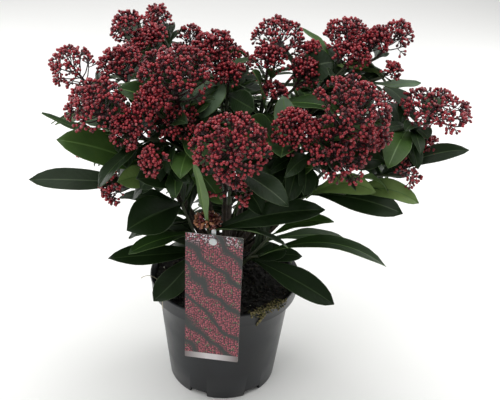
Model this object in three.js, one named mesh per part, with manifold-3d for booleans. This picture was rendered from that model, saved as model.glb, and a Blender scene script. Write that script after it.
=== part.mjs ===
// A flowering skimmia in its nursery pot, with the plant label hanging on its pin.
// Millimetres, +Z up. The origin is the centre of the flat underside of the pot.
// A short woody crown stands on the soil. Boughs leave it, each in its own upright plane, and
// each bough ends where it enters a mass. A mass is one stem that forks into shoots, and every
// shoot carries a whorl of leathery leaves below a domed head of flower buds.
import * as THREE from "three";
import { mergeVertices } from "three/addons/utils/BufferGeometryUtils.js";
import Module from "manifold-3d";

const wasm = await Module();
wasm.setup();

// ---------- driving dimensions ----------
const gap = 0.3; // clearance between touching pieces

const pot = {
  height: 152,
  rimRadius: 95,
  bandHeight: 20, // the upright band under the rim
  bodyTopRadius: 84.5,
  footRadius: 70,
  wall: 2.4,
  floor: 3,
  bandFlare: 2, // the band is this much narrower at its lower edge
  segments: 24,
  notches: 6, // drain recesses round the foot
  notchWidth: 24,
  notchHeight: 8,
  notchDepth: 8,
  notchTurn: 35, // degrees from the front to the first recess
};

const soil = {
  edgeHeight: 144, // where it meets the pot's wall
  domeHeight: 147,
  levelRadius: 26, // flat patch that the woody crown stands on
  segments: 18,
  lumps: 9,
  lumpRadius: 7,
};

const woodyCrown = {
  height: 56,
  groundRadius: 23,
  waistRadius: 14,
  topRadius: 17,
  sides: 10,
};

const limb = {
  baseRadius: 3.5,
  tipRadius: 2.7,
  sides: 5,
  startRadius: 10, // from the middle of the woody crown, or nearer it for an upright bough
  startShare: 0.3, // of the way out to its fork, for the same
  lowStart: 12, // above the soil: the masses on the woody crown, and just over them the boughs
  forkShare: 0.45, // how far along the way to its heads a bough forks
  lowForkRise: 0.3, // the same, upward, for a mass on the woody crown
  sweep: 0.58, // a bough runs out before it rises
};

const shootStem = {
  radius: 1.9,
  sides: 4,
  segmentLength: 40, // it is bent in straight stretches
  neck: 7, // from the end of the bough to where the shoots part
  heading: 0.42, // share of its length that keeps to the bough's direction
  upright: 0.6, // how strongly a head turns upward
  rootInset: 3, // nothing is rooted nearer its end than this
  massPhase: 1.7, // radians that the whorls of a mass, and of a shoot, are turned on from the last
  shootPhase: 2.1,
};

const leafShape = {
  length: 92,
  width: 27,
  thickness: 1.7,
  petioleWidth: 3.4,
  fold: 0.22, // how far the edges stand above the midrib, as a share of the half width
  thinning: 0.4, // how much thinner it is at its tip
  stations: [0, 0.42, 0.78, 1], // where the blade has a section, along its length
  placedStations: [0, 0.35, 0.72, 1],
};

// A blade's outline: shift moves its widest place to the tip, and a low fullness blunts it.
const bladeForm = { shift: 1.5, fullness: 0.72 };

// The leaves round a shoot: the upper ones steep, the lower ones spreading and drooping.
const whorl = {
  rows: 9,
  firstDrop: 5, // below the foot of the head
  dropStep: 8.5,
  tilt: 60, // degrees off the shoot's axis
  tiltStep: 4,
  tiltSpread: 12,
  droop: 0.12,
  droopStep: 0.05,
  droopSpread: 0.2,
  leastLength: 0.82,
  lengthSpread: 0.3,
  leastWidth: 0.85,
  widthSpread: 0.25,
  tries: 4, // places that are tried for a leaf before it is left out
  retryTurn: 0.6, // radians
  retryShrink: 0.09,
};

// Where the whorls' leaves may end.
const crown = {
  radius: 246,
  underside: 255,
  lowUnderside: 170, // for the masses that leave the woody crown itself
  innerRadius: 90,
  rise: 0.5,
};

const head = {
  stalkRadius: 2.2,
  stalkTipRadius: 1.5,
  stalkShare: 0.62, // of the head's height
  sprayRadius: 7.6, // one knot stands for about a dozen buds
  skirt: 128, // degrees down from the top that the dome of sprays reaches
  crowding: 1.2, // over 1 the sprays stand closer near the top
  leastReach: 0.84, // of the dome's radius
  lowestSpray: 0.08, // where sprays leave the stalk, as shares of the head's height
  highestSpray: 0.58,
};

// How much room the pieces leave each other.
const room = {
  leafReach: 2.2, // round each sample point of a leaf
  margin: 1.2, // between two masses
  ownOverlap: 3, // by which pieces of one mass may cross
  overPot: 3,
  label: 4,
  labelStep: 8,
  limbStep: 6,
};

const label = {
  width: 65,
  height: 176,
  thickness: 0.8,
  foot: 87, // height of its lower edge
  turn: 8, // degrees, tangent to the pot's rim
  holeRadius: 2.6,
  holeDrop: 8, // from the upper edge to the hole
  holeShift: -1,
};

const pin = {
  headRadius: 4.6,
  headThickness: 1.4,
  neckRadius: 2.2,
  stakeWidth: 5,
  stakeThickness: 1.6,
  stakeFoot: 96, // height of its point, down in the soil
  stakeRise: 15, // its round top stands above the hole
  lean: 27, // how far its point lies inward of its top
};

const colours = {
  pot: "#33363a",
  soil: "#1d1813",
  wood: "#4a3d2e",
  leaf: "#2c4630",
  label: "#6e4549",
  pin: "#dfe3e2",
};

// ---------- heads and shoots, from the front left round to the back ----------
// at: centre of the head of buds, wide and tall: its size, sprays: how many clusters it has,
// leaves: how many leaves its whorl has.
const masses = [
  {
    name: "left",
    turn: -10,
    shoots: [
      { at: [-172, -20, 424], wide: 64, tall: 58, sprays: 8, leaves: 6 },
      { at: [-121, -15, 428], wide: 66, tall: 46, sprays: 7, leaves: 5 },
      { at: [-165, -35, 332], wide: 24, tall: 18, sprays: 2, leaves: 0 },
    ],
  },
  {
    name: "left_front",
    shoots: [
      { at: [-138, -75, 404], wide: 78, tall: 56, sprays: 9, leaves: 6 },
      { at: [-127, -70, 307], wide: 52, tall: 36, sprays: 5, leaves: 0, nod: [-1, -0.1, 0.1] },
    ],
  },
  {
    name: "top_left",
    shoots: [
      { at: [-117, 30, 456], wide: 52, tall: 46, sprays: 6, leaves: 5 },
      { at: [-88, 70, 455], wide: 40, tall: 42, sprays: 5, leaves: 5 },
      { at: [-51, 80, 429], wide: 40, tall: 46, sprays: 4, leaves: 4 },
      { at: [-94, 25, 445], wide: 56, tall: 34, sprays: 6, leaves: 0 },
    ],
  },
  {
    name: "front_left",
    shoots: [
      { at: [-60, -52, 429], wide: 96, tall: 76, sprays: 12, leaves: 7 },
      { at: [-78, -118, 362], wide: 38, tall: 44, sprays: 5, leaves: 7 },
      { at: [-102, -88, 387], wide: 62, tall: 46, sprays: 6, leaves: 3 },
      { at: [-57, -70, 385], wide: 60, tall: 34, sprays: 5, leaves: 4 },
      { at: [-81, -80, 413], wide: 50, tall: 38, sprays: 5, leaves: 0 },
    ],
  },
  {
    name: "centre",
    shoots: [
      { at: [-21, 10, 438], wide: 68, tall: 58, sprays: 9, leaves: 7 },
      { at: [-3, -14, 422], wide: 46, tall: 30, sprays: 4, leaves: 0 },
    ],
  },
  {
    name: "top_centre",
    turn: 34,
    shoots: [
      { at: [52, 28, 447], wide: 70, tall: 64, sprays: 8, leaves: 7 },
      { at: [89, 15, 442], wide: 28, tall: 30, sprays: 3, leaves: 2 },
      { at: [48, -20, 405], wide: 40, tall: 22, sprays: 4, leaves: 3 },
      { at: [80, 0, 421], wide: 48, tall: 46, sprays: 5, leaves: 0 },
      { at: [40, 2, 434], wide: 52, tall: 42, sprays: 5, leaves: 0 },
    ],
  },
  {
    name: "top_right",
    shoots: [
      { at: [129, 20, 455], wide: 70, tall: 56, sprays: 8, leaves: 5 },
      { at: [178, 10, 461], wide: 46, tall: 52, sprays: 5, leaves: 0 },
      { at: [174, -20, 435], wide: 30, tall: 24, sprays: 3, leaves: 0 },
      { at: [130, -12, 447], wide: 54, tall: 34, sprays: 5, leaves: 0 },
      { at: [157, 4, 459], wide: 40, tall: 44, sprays: 4, leaves: 0 },
    ],
  },
  {
    name: "right_front",
    shoots: [
      { at: [127, -90, 411], wide: 102, tall: 76, sprays: 12, leaves: 7 },
      { at: [65, -105, 396], wide: 58, tall: 60, sprays: 8, leaves: 7 },
      { at: [109, -108, 378], wide: 92, tall: 30, sprays: 7, leaves: 2 },
      { at: [145, -92, 382], wide: 34, tall: 50, sprays: 5, leaves: 0 },
    ],
  },
  {
    name: "right",
    turn: 8,
    shoots: [
      { at: [225, -32, 396], wide: 92, tall: 34, sprays: 11, leaves: 6, nod: [0.1, -0.15, 1] },
      { at: [217, -45, 358], wide: 42, tall: 30, sprays: 4, leaves: 1, nod: [0.2, -0.3, 1] },
    ],
  },
  {
    name: "right_low",
    turn: -8,
    shoots: [
      { at: [197, -70, 337], wide: 50, tall: 20, sprays: 3, leaves: 3 },
      { at: [133, -80, 315], wide: 22, tall: 14, sprays: 0, leaves: 2 },
    ],
  },
  {
    name: "front",
    shoots: [
      { at: [2, -130, 387], wide: 92, tall: 68, sprays: 14, leaves: 8 },
      { at: [6, -112, 334], wide: 60, tall: 32, sprays: 4, leaves: 2 },
    ],
  },
  {
    name: "back_left",
    shoots: [
      { at: [-120, 140, 388], wide: 70, tall: 56, sprays: 7, leaves: 6 },
      { at: [-58, 178, 345], wide: 54, tall: 44, sprays: 5, leaves: 5 },
    ],
  },
  {
    name: "back",
    shoots: [
      { at: [2, 120, 386], wide: 64, tall: 54, sprays: 6, leaves: 6 },
      { at: [22, 190, 330], wide: 60, tall: 46, sprays: 6, leaves: 4 },
    ],
  },
  {
    name: "back_right",
    shoots: [
      { at: [108, 120, 396], wide: 68, tall: 56, sprays: 7, leaves: 6 },
      { at: [120, 175, 338], wide: 58, tall: 46, sprays: 5, leaves: 5 },
    ],
  },
  {
    name: "left_back",
    shoots: [{ at: [-178, 82, 348], wide: 66, tall: 50, sprays: 6, leaves: 7 }],
  },
  {
    name: "right_back",
    shoots: [{ at: [202, 82, 352], wide: 66, tall: 50, sprays: 6, leaves: 7 }],
  },
  {
    name: "front_low",
    onCrown: true,
    shoots: [{ at: [-21, -86, 276], wide: 38, tall: 20, sprays: 4, leaves: 0, nod: [0, 0.1, 1] }],
  },
  {
    name: "low_left",
    onCrown: true,
    shoots: [
      { at: [-54, -40, 277], wide: 12, tall: 10, sprays: 0, leaves: 4 },
      { at: [-44, -42, 214], wide: 12, tall: 10, sprays: 0, leaves: 0 },
    ],
  },
  {
    name: "low_right",
    onCrown: true,
    shoots: [
      { at: [54, -42, 238], wide: 12, tall: 10, sprays: 0, leaves: 0 },
      { at: [42, -44, 206], wide: 12, tall: 10, sprays: 0, leaves: 0 },
    ],
  },
  {
    name: "low_back",
    onCrown: true,
    shoots: [
      { at: [-30, 74, 262], wide: 12, tall: 10, sprays: 0, leaves: 7 },
      { at: [48, 66, 254], wide: 12, tall: 10, sprays: 0, leaves: 7 },
    ],
  },
];

// ---------- leaves with a place of their own ----------
// shoot: which shoot of the mass carries it, below: how far down the stem from the head,
// tip: where it ends, arch: rise of its middle over a straight line, roll: degrees that its face is
// turned to the front.
const placedLeaves = {
  left_front: [
    { shoot: 1, below: 14, tip: [-221, -60, 307], width: 28, arch: 1, roll: 35 },
    { shoot: 1, below: 34, tip: [-113, -104, 331], width: 26, arch: 4, roll: 60 },
    { shoot: 0, below: 92, tip: [-176, -95, 374], width: 42, arch: 4, roll: 45 },
    { shoot: 0, below: 18, tip: [-204, -40, 379], width: 15, arch: -8, roll: 0 },
  ],
  front_left: [
    { shoot: 0, below: 6, tip: [-116, -72, 423], width: 26, arch: 3, roll: 40 },
    { shoot: 0, below: 30, tip: [-10, -14, 413], width: 36, arch: 2, roll: 20 },
    { shoot: 1, below: 76, tip: [-90, -124, 348], width: 34, arch: -4, roll: 40 },
    { shoot: 3, below: 34, tip: [-49, -127, 350], width: 28, arch: 8, roll: 0 },
  ],
  front_low: [
    { shoot: 0, below: 3, tip: [-32, -144, 378], width: 16, arch: -1, roll: 30 },
    { shoot: 0, below: 5, tip: [69, -104, 258], width: 23, arch: 10, roll: -20 },
    { shoot: 0, below: 8, tip: [104, -108, 308], width: 30, arch: 7, roll: 40 },
  ],
  low_left: [
    { shoot: 0, below: 0, tip: [-103, -122, 285], width: 46, arch: 3, roll: 42 },
    { shoot: 0, below: 26, tip: [-104, -66, 243], width: 22, arch: 3, roll: 0 },
    { shoot: 0, below: 46, tip: [-108, -95, 238], width: 22, arch: 4, roll: 15 },
    { shoot: 1, below: 24, tip: [-133, -82, 221], width: 30, arch: -1, roll: 25 },
    { shoot: 1, below: 18, tip: [-84, -74, 157], width: 34, arch: -6, roll: 25 },
  ],
  front: [
    { shoot: 0, below: 84, tip: [92, -78, 314], width: 28, arch: 2, roll: 35 },
  ],
  low_right: [
    { shoot: 1, below: 20, tip: [134, -64, 152], width: 35, arch: 3, roll: 30 },
    { shoot: 1, below: 3, tip: [192, -58, 206], width: 25, arch: 26, roll: 10 },
    { shoot: 0, below: 12, tip: [150, 8, 202], width: 22, arch: 6, roll: 10 },
    { shoot: 0, below: 0, tip: [124, -52, 262], width: 18, arch: 8, roll: 20 },
  ],
  right_low: [
    { shoot: 1, below: 44, tip: [186, -112, 309], width: 32, arch: 6, roll: 45 },
    { shoot: 1, below: 56, tip: [154, -112, 333], width: 24, arch: 14, roll: 60 },
    { shoot: 1, below: 0, tip: [208, -92, 311], width: 26, arch: 12, roll: 30 },
    { shoot: 0, below: 20, tip: [262, -60, 362], width: 20, arch: 8, roll: 45 },
  ],
  top_right: [
    { shoot: 2, below: 16, tip: [211, -6, 418], width: 14, arch: -3, roll: 20 },
    { shoot: 0, below: 6, tip: [146, -24, 440], width: 18, arch: 2, roll: 30 },
  ],
  top_centre: [
    { shoot: 1, below: 22, tip: [112, -4, 436], width: 38, arch: 4, roll: 60 },
    { shoot: 2, below: 20, tip: [25, -44, 437], width: 28, arch: 2, roll: 60 },
  ],
  right_front: [
    { shoot: 1, below: 40, tip: [52, -126, 378], width: 32, arch: 12, roll: 0 },
    { shoot: 0, below: 26, tip: [168, -92, 388], width: 26, arch: 8, roll: 20 },
    { shoot: 1, below: 10, tip: [54, -62, 417], width: 24, arch: 0, roll: 30 },
    { shoot: 2, below: 24, tip: [166, -82, 356], width: 32, arch: 2, roll: 40 },
    { shoot: 1, below: 66, tip: [84, -104, 356], width: 26, arch: 2, roll: 60 },
    { shoot: 1, below: 50, tip: [21, -98, 406], width: 26, arch: 9, roll: 65 },
  ],
  centre: [
    { shoot: 1, below: 12, tip: [24, -72, 404], width: 28, arch: 0, roll: 60 },
  ],
};

const up = new THREE.Vector3(0, 0, 1);
const goldenTurn = THREE.MathUtils.degToRad(137.508);
const vector = (list) => new THREE.Vector3(...list);

// ---------- small tools ----------

function seeded(seed) {
  let state = seed >>> 0;
  return () => {
    state = (state + 0x6d2b79f5) >>> 0;
    let t = state;
    t = Math.imul(t ^ (t >>> 15), t | 1);
    t ^= t + Math.imul(t ^ (t >>> 7), t | 61);
    return ((t ^ (t >>> 14)) >>> 0) / 4294967296;
  };
}

function closed(geometry) {
  geometry.deleteAttribute("normal");
  geometry.deleteAttribute("uv");
  return mergeVertices(geometry, 1e-4);
}

function toSolid(geometry) {
  const shape = closed(geometry);
  return new wasm.Manifold(new wasm.Mesh({
    numProp: 3,
    vertProperties: Float32Array.from(shape.attributes.position.array),
    triVerts: Uint32Array.from(shape.index.array),
  }));
}

function toGeometry(solid) {
  const shape = solid.getMesh();
  const geometry = new THREE.BufferGeometry();
  geometry.setAttribute("position", new THREE.BufferAttribute(shape.vertProperties, 3));
  geometry.setIndex(new THREE.BufferAttribute(shape.triVerts, 1));
  return geometry;
}

// Moves every point of a geometry to where place(point) puts it.
function reshape(geometry, place) {
  const position = geometry.attributes.position;
  const point = new THREE.Vector3();
  for (let i = 0; i < position.count; i++) {
    point.fromBufferAttribute(position, i);
    const moved = place(point);
    position.setXYZ(i, moved.x, moved.y, moved.z);
  }
  return geometry;
}

function bezier(from, control, to) {
  return new THREE.QuadraticBezierCurve3(from, control, to);
}

// A direction square to the curve that is the same all along it.
function acrossOf(curve) {
  const first = curve.v1.clone().sub(curve.v0);
  const last = curve.v2.clone().sub(curve.v1);
  const across = first.clone().cross(last);
  if (across.length() > 1e-3 * first.length() * last.length()) {
    return across.normalize();
  }
  const aside = Math.abs(first.z) > 0.9 * first.length() ? new THREE.Vector3(1, 0, 0) : up;
  return aside.clone().cross(first).normalize();
}

// A round limb along a curve, from one radius to the other: a cylinder bent to the curve.
function limbGeometry(curve, baseRadius, tipRadius, sides, segments) {
  const across = acrossOf(curve);
  return reshape(new THREE.CylinderGeometry(1, 1, 1, sides, segments), (point) => {
    const t = point.y + 0.5;
    const radius = THREE.MathUtils.lerp(baseRadius, tipRadius, t);
    const other = across.clone().cross(curve.getTangent(t));
    return curve.getPoint(t)
      .addScaledVector(across, point.x * radius)
      .addScaledVector(other, point.z * radius);
  });
}

function stickGeometry(from, to, baseRadius, tipRadius, sides) {
  const curve = bezier(from, from.clone().lerp(to, 0.5), to);
  return limbGeometry(curve, baseRadius, tipRadius, sides, 1);
}

// A piece with a point at each end: a ball of few faces, drawn out through its stations.
function spindleGeometry(sides, stations, place) {
  const segments = stations.length - 1;
  return reshape(new THREE.SphereGeometry(1, sides, segments), (point) => {
    const polar = Math.acos(THREE.MathUtils.clamp(point.y, -1, 1));
    const round = Math.max(Math.hypot(point.x, point.z), 1e-9);
    return place(stations[Math.round(polar / Math.PI * segments)], point.x / round, point.z / round);
  });
}

// ---------- leaves ----------
// A leaf is its midrib, a curve, with the direction that its blade spreads in and its width.

function bladeShare(t) {
  return Math.sin(Math.PI * t ** bladeForm.shift) ** bladeForm.fullness;
}

function halfWidth(leaf, t) {
  if (t >= 1) {
    return 0;
  }
  return Math.max(leafShape.petioleWidth / 2, leaf.width / 2 * bladeShare(t));
}

function bladePoint(leaf, t, across, lift) {
  const normal = leaf.midrib.getTangent(t).cross(leaf.side);
  const reach = across * halfWidth(leaf, t);
  return leaf.midrib.getPoint(t)
    .addScaledVector(leaf.side, reach)
    .addScaledVector(normal, lift + Math.abs(reach) * leafShape.fold);
}

// The blade is a spindle of four sides pressed flat, so that its section has two sharp edges and
// a midrib. Its root is a point, which lies on the axis of the stem.
function leafGeometry(leaf) {
  return spindleGeometry(4, leaf.stations, (t, x, z) => {
    const solidPart = t > 0 && t < 1 ? 1 : 0;
    const lift = z * leafShape.thickness / 2 * (1 - leafShape.thinning * t);
    return bladePoint(leaf, t, x * solidPart, lift * solidPart);
  });
}

function leafSamples(leaf) {
  const samples = [];
  for (let i = 3; i <= 14; i++) {
    for (const across of [-0.9, -0.45, 0, 0.45, 0.9]) {
      samples.push(bladePoint(leaf, i / 14, across, 0));
    }
  }
  return samples;
}

function placedLeaf(shoot, row) {
  const base = shoot.pointBelow(row.below);
  const tip = vector(row.tip);
  const chord = tip.clone().sub(base).normalize();
  const facing = THREE.MathUtils.degToRad(chord.x < 0 ? -row.roll : row.roll);
  const side = up.clone().cross(chord).normalize().applyAxisAngle(chord, facing);
  const control = base.clone().lerp(tip, 0.5).addScaledVector(up, 2 * row.arch);
  return { midrib: bezier(base, control, tip), side, width: row.width, stations: leafShape.placedStations };
}

// Leaf number index of a shoot. They stand round the stem at the golden turn.
function whorlLeaf(shoot, index, attempt, draw) {
  const base = shoot.pointBelow(whorl.firstDrop + whorl.dropStep * index);
  const axis = shoot.axis;
  const turn = shoot.phase + index * goldenTurn + attempt * whorl.retryTurn;
  const radial = shoot.across.clone().applyAxisAngle(axis, turn);
  const tilt = THREE.MathUtils.degToRad(
    whorl.tilt + whorl.tiltStep * index + whorl.tiltSpread * draw());
  const share = (whorl.leastLength + whorl.lengthSpread * draw()) * (1 - whorl.retryShrink * attempt);
  const length = leafShape.length * share;
  const out = axis.clone().multiplyScalar(Math.cos(tilt)).addScaledVector(radial, Math.sin(tilt));
  const droop = whorl.droop + whorl.droopStep * index + whorl.droopSpread * draw();
  const tip = base.clone()
    .addScaledVector(out.clone().addScaledVector(up, -droop).normalize(), length);
  const control = base.clone().addScaledVector(out, length / 2);
  const side = axis.clone().cross(out).normalize();
  const width = leafShape.width * (whorl.leastWidth + whorl.widthSpread * draw());
  return { midrib: bezier(base, control, tip), side, width, stations: leafShape.stations };
}

// ---------- what the plant already holds ----------
// Every piece leaves its sample points here. A later leaf or spray of another owner that comes
// too near them is skipped, so each mass keeps to its own space.
const held = [];

function hold(points, radius, owner) {
  for (const point of points) {
    held.push({ point, radius, owner });
  }
}

function inPot(point) {
  return point.z < pot.height + room.overPot
    && Math.hypot(point.x, point.y) < pot.rimRadius + room.overPot;
}

function isClear(points, radius, owner, ownOverlap) {
  return points.every((point) => !inPot(point) && held.every((other) => {
    const least = radius + other.radius + (other.owner === owner ? -ownOverlap : room.margin);
    return point.distanceToSquared(other.point) > least * least;
  }));
}

// A whorl's leaves end below the middle of their head, and above the crown's underside, which
// rises outward.
function inCrown(mass, shoot, leaf) {
  const tip = leaf.midrib.v2;
  const reach = Math.hypot(tip.x, tip.y);
  const outward = Math.max(0, reach - crown.innerRadius) + Math.max(0, -tip.y - crown.innerRadius);
  const underside = mass.onCrown ? crown.lowUnderside : crown.underside + crown.rise * outward;
  return tip.z < shoot.at.z && tip.z > underside && reach < crown.radius;
}

function samplesAlong(curve, step) {
  const count = Math.max(1, Math.ceil(curve.getLength() / step));
  return Array.from({ length: count + 1 }, (_, i) => curve.getPoint(i / count));
}

// ---------- boughs, forks and shoots ----------

const groundHeight = soil.domeHeight + gap;
const crownTop = groundHeight + woodyCrown.height;

function meanHead(mass) {
  const sum = new THREE.Vector3();
  for (const shoot of mass.shoots) {
    sum.add(vector(shoot.at));
  }
  return sum.divideScalar(mass.shoots.length);
}

// The bough runs from inside the woody crown to its fork. The steeper it is, the higher on the
// woody crown it starts.
function boughCurve(mass) {
  const { lerp, degToRad } = THREE.MathUtils;
  const goal = meanHead(mass);
  const lowStart = groundHeight + limb.lowStart;
  const fork = new THREE.Vector3(goal.x * limb.forkShare, goal.y * limb.forkShare,
    mass.onCrown ? lerp(lowStart, goal.z, limb.lowForkRise) : (crownTop + goal.z) / 2);
  const steep = Math.atan2(fork.z - crownTop, Math.hypot(fork.x, fork.y)) / (Math.PI / 2);
  const start = new THREE.Vector3(fork.x, fork.y, 0).applyAxisAngle(up, degToRad(mass.turn ?? 0));
  start.setLength(Math.min(limb.startRadius, start.length() * limb.startShare));
  start.z = mass.onCrown ? lowStart : lerp(lowStart, crownTop - 8, Math.min(1, steep * 1.15));
  const control = new THREE.Vector3(
    lerp(start.x, fork.x, limb.sweep),
    lerp(start.y, fork.y, limb.sweep),
    lerp(start.z, fork.z, 1 - limb.sweep));
  return bezier(start, control, fork);
}

// One shoot: its stem from the fork to the foot of its head, and the head's axis.
function growShoot(row, fork, heading, phase) {
  const at = vector(row.at);
  const start = fork.clone().addScaledVector(heading, shootStem.neck);
  const reach = start.distanceTo(at);
  const control = start.clone().addScaledVector(heading, reach * shootStem.heading);
  const rising = at.clone().sub(control).normalize().addScaledVector(up, shootStem.upright);
  const axis = (row.nod ? vector(row.nod) : rising).normalize();
  const collar = at.clone().addScaledVector(axis, -row.tall / 2);
  const stem = bezier(start, control, collar);
  const length = stem.getLength();
  const segments = Math.max(2, Math.round(length / shootStem.segmentLength));
  const corners = stem.getPoints(segments);
  // A point on the stem's straight stretches, so that what grows there is rooted inside it.
  const pointBelow = (distance) => {
    const share = 1 - Math.max(distance, shootStem.rootInset) / length;
    const along = THREE.MathUtils.clamp(share, 0.02, 0.98) * segments;
    const corner = Math.floor(along);
    return corners[corner].clone().lerp(corners[corner + 1], along - corner);
  };
  const across = acrossOf(bezier(collar, at, at.clone().add(axis)));
  return { ...row, at, axis, across, collar, stem, segments, phase, pointBelow };
}

// The sprays of a head: their ends lie on a dome, by the golden turn, and their stalks leave the
// head's own stalk in order of height.
function headSprays(shoot, draw) {
  const wide = Math.max(shoot.wide / 2 - head.sprayRadius, 1);
  const tall = Math.max(shoot.tall / 2 - head.sprayRadius, 1);
  const other = shoot.axis.clone().cross(shoot.across);
  const low = 1 - Math.cos(THREE.MathUtils.degToRad(head.skirt));
  const sprays = [];
  for (let i = 0; i < shoot.sprays; i++) {
    const share = (i + 0.5) / shoot.sprays;
    const polar = Math.acos(1 - share ** head.crowding * low);
    const turn = shoot.phase + i * goldenTurn;
    const reach = THREE.MathUtils.lerp(head.leastReach, 1, draw());
    const end = shoot.at.clone()
      .addScaledVector(shoot.across, Math.sin(polar) * Math.cos(turn) * wide * reach)
      .addScaledVector(other, Math.sin(polar) * Math.sin(turn) * wide * reach)
      .addScaledVector(shoot.axis, Math.cos(polar) * tall * reach);
    const height = THREE.MathUtils.lerp(head.highestSpray, head.lowestSpray, share);
    const start = shoot.collar.clone().addScaledVector(shoot.axis, shoot.tall * height);
    sprays.push({ start, end });
  }
  return sprays;
}

// A spray is a spindle that widens from its root, on the head's stalk, to its knot of buds.
function sprayGeometry({ start, end }) {
  const outward = end.clone().sub(start).normalize();
  const tip = end.clone().addScaledVector(outward, head.sprayRadius);
  const across = acrossOf(bezier(start, end, tip));
  const other = outward.clone().cross(across);
  const shoulder = 1 - head.sprayRadius / start.distanceTo(tip);
  return spindleGeometry(3, [0, shoulder, 1], (t, x, z) => {
    const radius = t === shoulder ? head.sprayRadius : 0;
    return start.clone().lerp(tip, t)
      .addScaledVector(across, x * radius)
      .addScaledVector(other, z * radius);
  });
}

// ---------- pot, soil, woody crown, label and pin ----------

function latheGeometry(profile, segments) {
  const points = profile.map(([radius, height]) => new THREE.Vector2(radius, height));
  return new THREE.LatheGeometry(points, segments).rotateX(Math.PI / 2);
}

// Radius of the pot's outer wall under the band.
function bodyRadius(height) {
  const share = height / (pot.height - pot.bandHeight);
  return THREE.MathUtils.lerp(pot.footRadius, pot.bodyTopRadius, share);
}

function potGeometry() {
  const bandFoot = pot.height - pot.bandHeight;
  const inside = pot.floor + pot.notchHeight; // the floor stands above the drain recesses
  const shell = toSolid(latheGeometry([
    [0, 0],
    [pot.footRadius, 0],
    [bodyRadius(bandFoot), bandFoot],
    [pot.rimRadius - pot.bandFlare, bandFoot],
    [pot.rimRadius, pot.height],
    [pot.rimRadius - pot.wall, pot.height],
    [bodyRadius(bandFoot) - pot.wall, bandFoot],
    [bodyRadius(inside) - pot.wall, inside],
    [0, inside],
  ], pot.segments));
  let cut = shell;
  for (let i = 0; i < pot.notches; i++) {
    const notch = new THREE.BoxGeometry(pot.notchWidth, pot.notchDepth * 2, pot.notchHeight * 2)
      .translate(0, -pot.footRadius, 0)
      .rotateZ(THREE.MathUtils.degToRad(pot.notchTurn + i * 360 / pot.notches));
    cut = cut.subtract(toSolid(notch));
  }
  return toGeometry(cut);
}

// It follows the inside of the pot, a little inside the flats of the pot's sides.
function soilGeometry() {
  const bottom = pot.floor + pot.notchHeight + gap;
  const bandFoot = pot.height - pot.bandHeight;
  const flats = Math.cos(Math.PI / pot.segments);
  const inner = (radius) => (radius - pot.wall) * flats - gap;
  const edgeShare = (soil.edgeHeight - bandFoot) / pot.bandHeight;
  const edgeRadius = inner(THREE.MathUtils.lerp(bodyRadius(bandFoot), pot.rimRadius, edgeShare));
  let body = toSolid(latheGeometry([
    [0, bottom],
    [inner(bodyRadius(bottom)), bottom],
    [inner(bodyRadius(bandFoot)), bandFoot],
    [edgeRadius, soil.edgeHeight],
    [(soil.levelRadius + edgeRadius) / 2, (soil.edgeHeight + soil.domeHeight) / 2 + 0.5],
    [soil.levelRadius, soil.domeHeight],
    [0, soil.domeHeight],
  ], soil.segments));
  const draw = seeded(5);
  for (let i = 0; i < soil.lumps; i++) {
    const turn = i * goldenTurn;
    const radius = soil.levelRadius + 14 + 36 * Math.sqrt(draw());
    const height = soil.edgeHeight - 1 + 4 * draw();
    const lump = new THREE.OctahedronGeometry(soil.lumpRadius * (0.7 + 0.5 * draw()))
      .rotateZ(draw() * 3)
      .translate(radius * Math.cos(turn), radius * Math.sin(turn), height);
    body = body.add(toSolid(lump));
  }
  return toGeometry(body.subtract(toSolid(stakeGeometry(gap))));
}

function crownGeometry(grow) {
  const { height, groundRadius, waistRadius, topRadius } = woodyCrown;
  return latheGeometry([
    [0, groundHeight - grow],
    [groundRadius + grow, groundHeight - grow],
    [groundRadius + grow, groundHeight + 2],
    [waistRadius + 3.5 + grow, groundHeight + 8],
    [waistRadius + grow, groundHeight + 16],
    [topRadius + grow, crownTop - 10],
    [topRadius * 0.75 + grow, crownTop - 3],
    [0, crownTop + grow],
  ], woodyCrown.sides);
}

// Label and pin are drawn in front of the pot, at the middle of its rim, and then turned to where
// the label leans on the rim.
function turnToLabel(geometry) {
  return geometry.rotateZ(THREE.MathUtils.degToRad(-label.turn));
}

const labelBack = -(pot.rimRadius + gap);
const holeHeight = label.foot + label.height - label.holeDrop;

function labelGeometry() {
  const { width, height, foot } = label;
  const half = width / 2;
  const outline = new THREE.Shape();
  outline.moveTo(-half, foot);
  outline.lineTo(half, foot);
  outline.lineTo(half, foot + height);
  outline.lineTo(-half, foot + height);
  const hole = new THREE.Path();
  hole.absarc(label.holeShift, holeHeight, label.holeRadius, 0, Math.PI * 2, true);
  outline.holes.push(hole);
  const card = new THREE.ExtrudeGeometry(outline, {
    depth: label.thickness, bevelEnabled: false, curveSegments: 6,
  });
  return turnToLabel(card.rotateX(Math.PI / 2).translate(0, labelBack, 0));
}

// A flat strip with a round top, leaning inward over the rim and down into the soil.
function stakeGeometry(grow) {
  const half = pin.stakeWidth / 2 + grow;
  const top = holeHeight + pin.stakeRise;
  const length = Math.hypot(top - pin.stakeFoot, pin.lean);
  const outline = new THREE.Shape();
  outline.moveTo(0, -length - grow);
  outline.lineTo(half, -length + 8);
  outline.lineTo(half, -half);
  outline.absarc(0, -half, half, 0, Math.PI);
  outline.lineTo(-half, -length + 8);
  const strip = new THREE.ExtrudeGeometry(outline, {
    depth: pin.stakeThickness + 2 * grow, bevelEnabled: false, curveSegments: 4,
  });
  return turnToLabel(strip
    .translate(label.holeShift, 0, -grow)
    .rotateX(Math.PI / 2 + Math.atan2(pin.lean, top - pin.stakeFoot))
    .translate(0, labelBack + gap + pin.stakeThickness, top));
}

function discGeometry(radius, front, depth) {
  const disc = new THREE.CylinderGeometry(radius, radius, depth, 12);
  return turnToLabel(disc.translate(label.holeShift, front + depth / 2, holeHeight));
}

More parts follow.
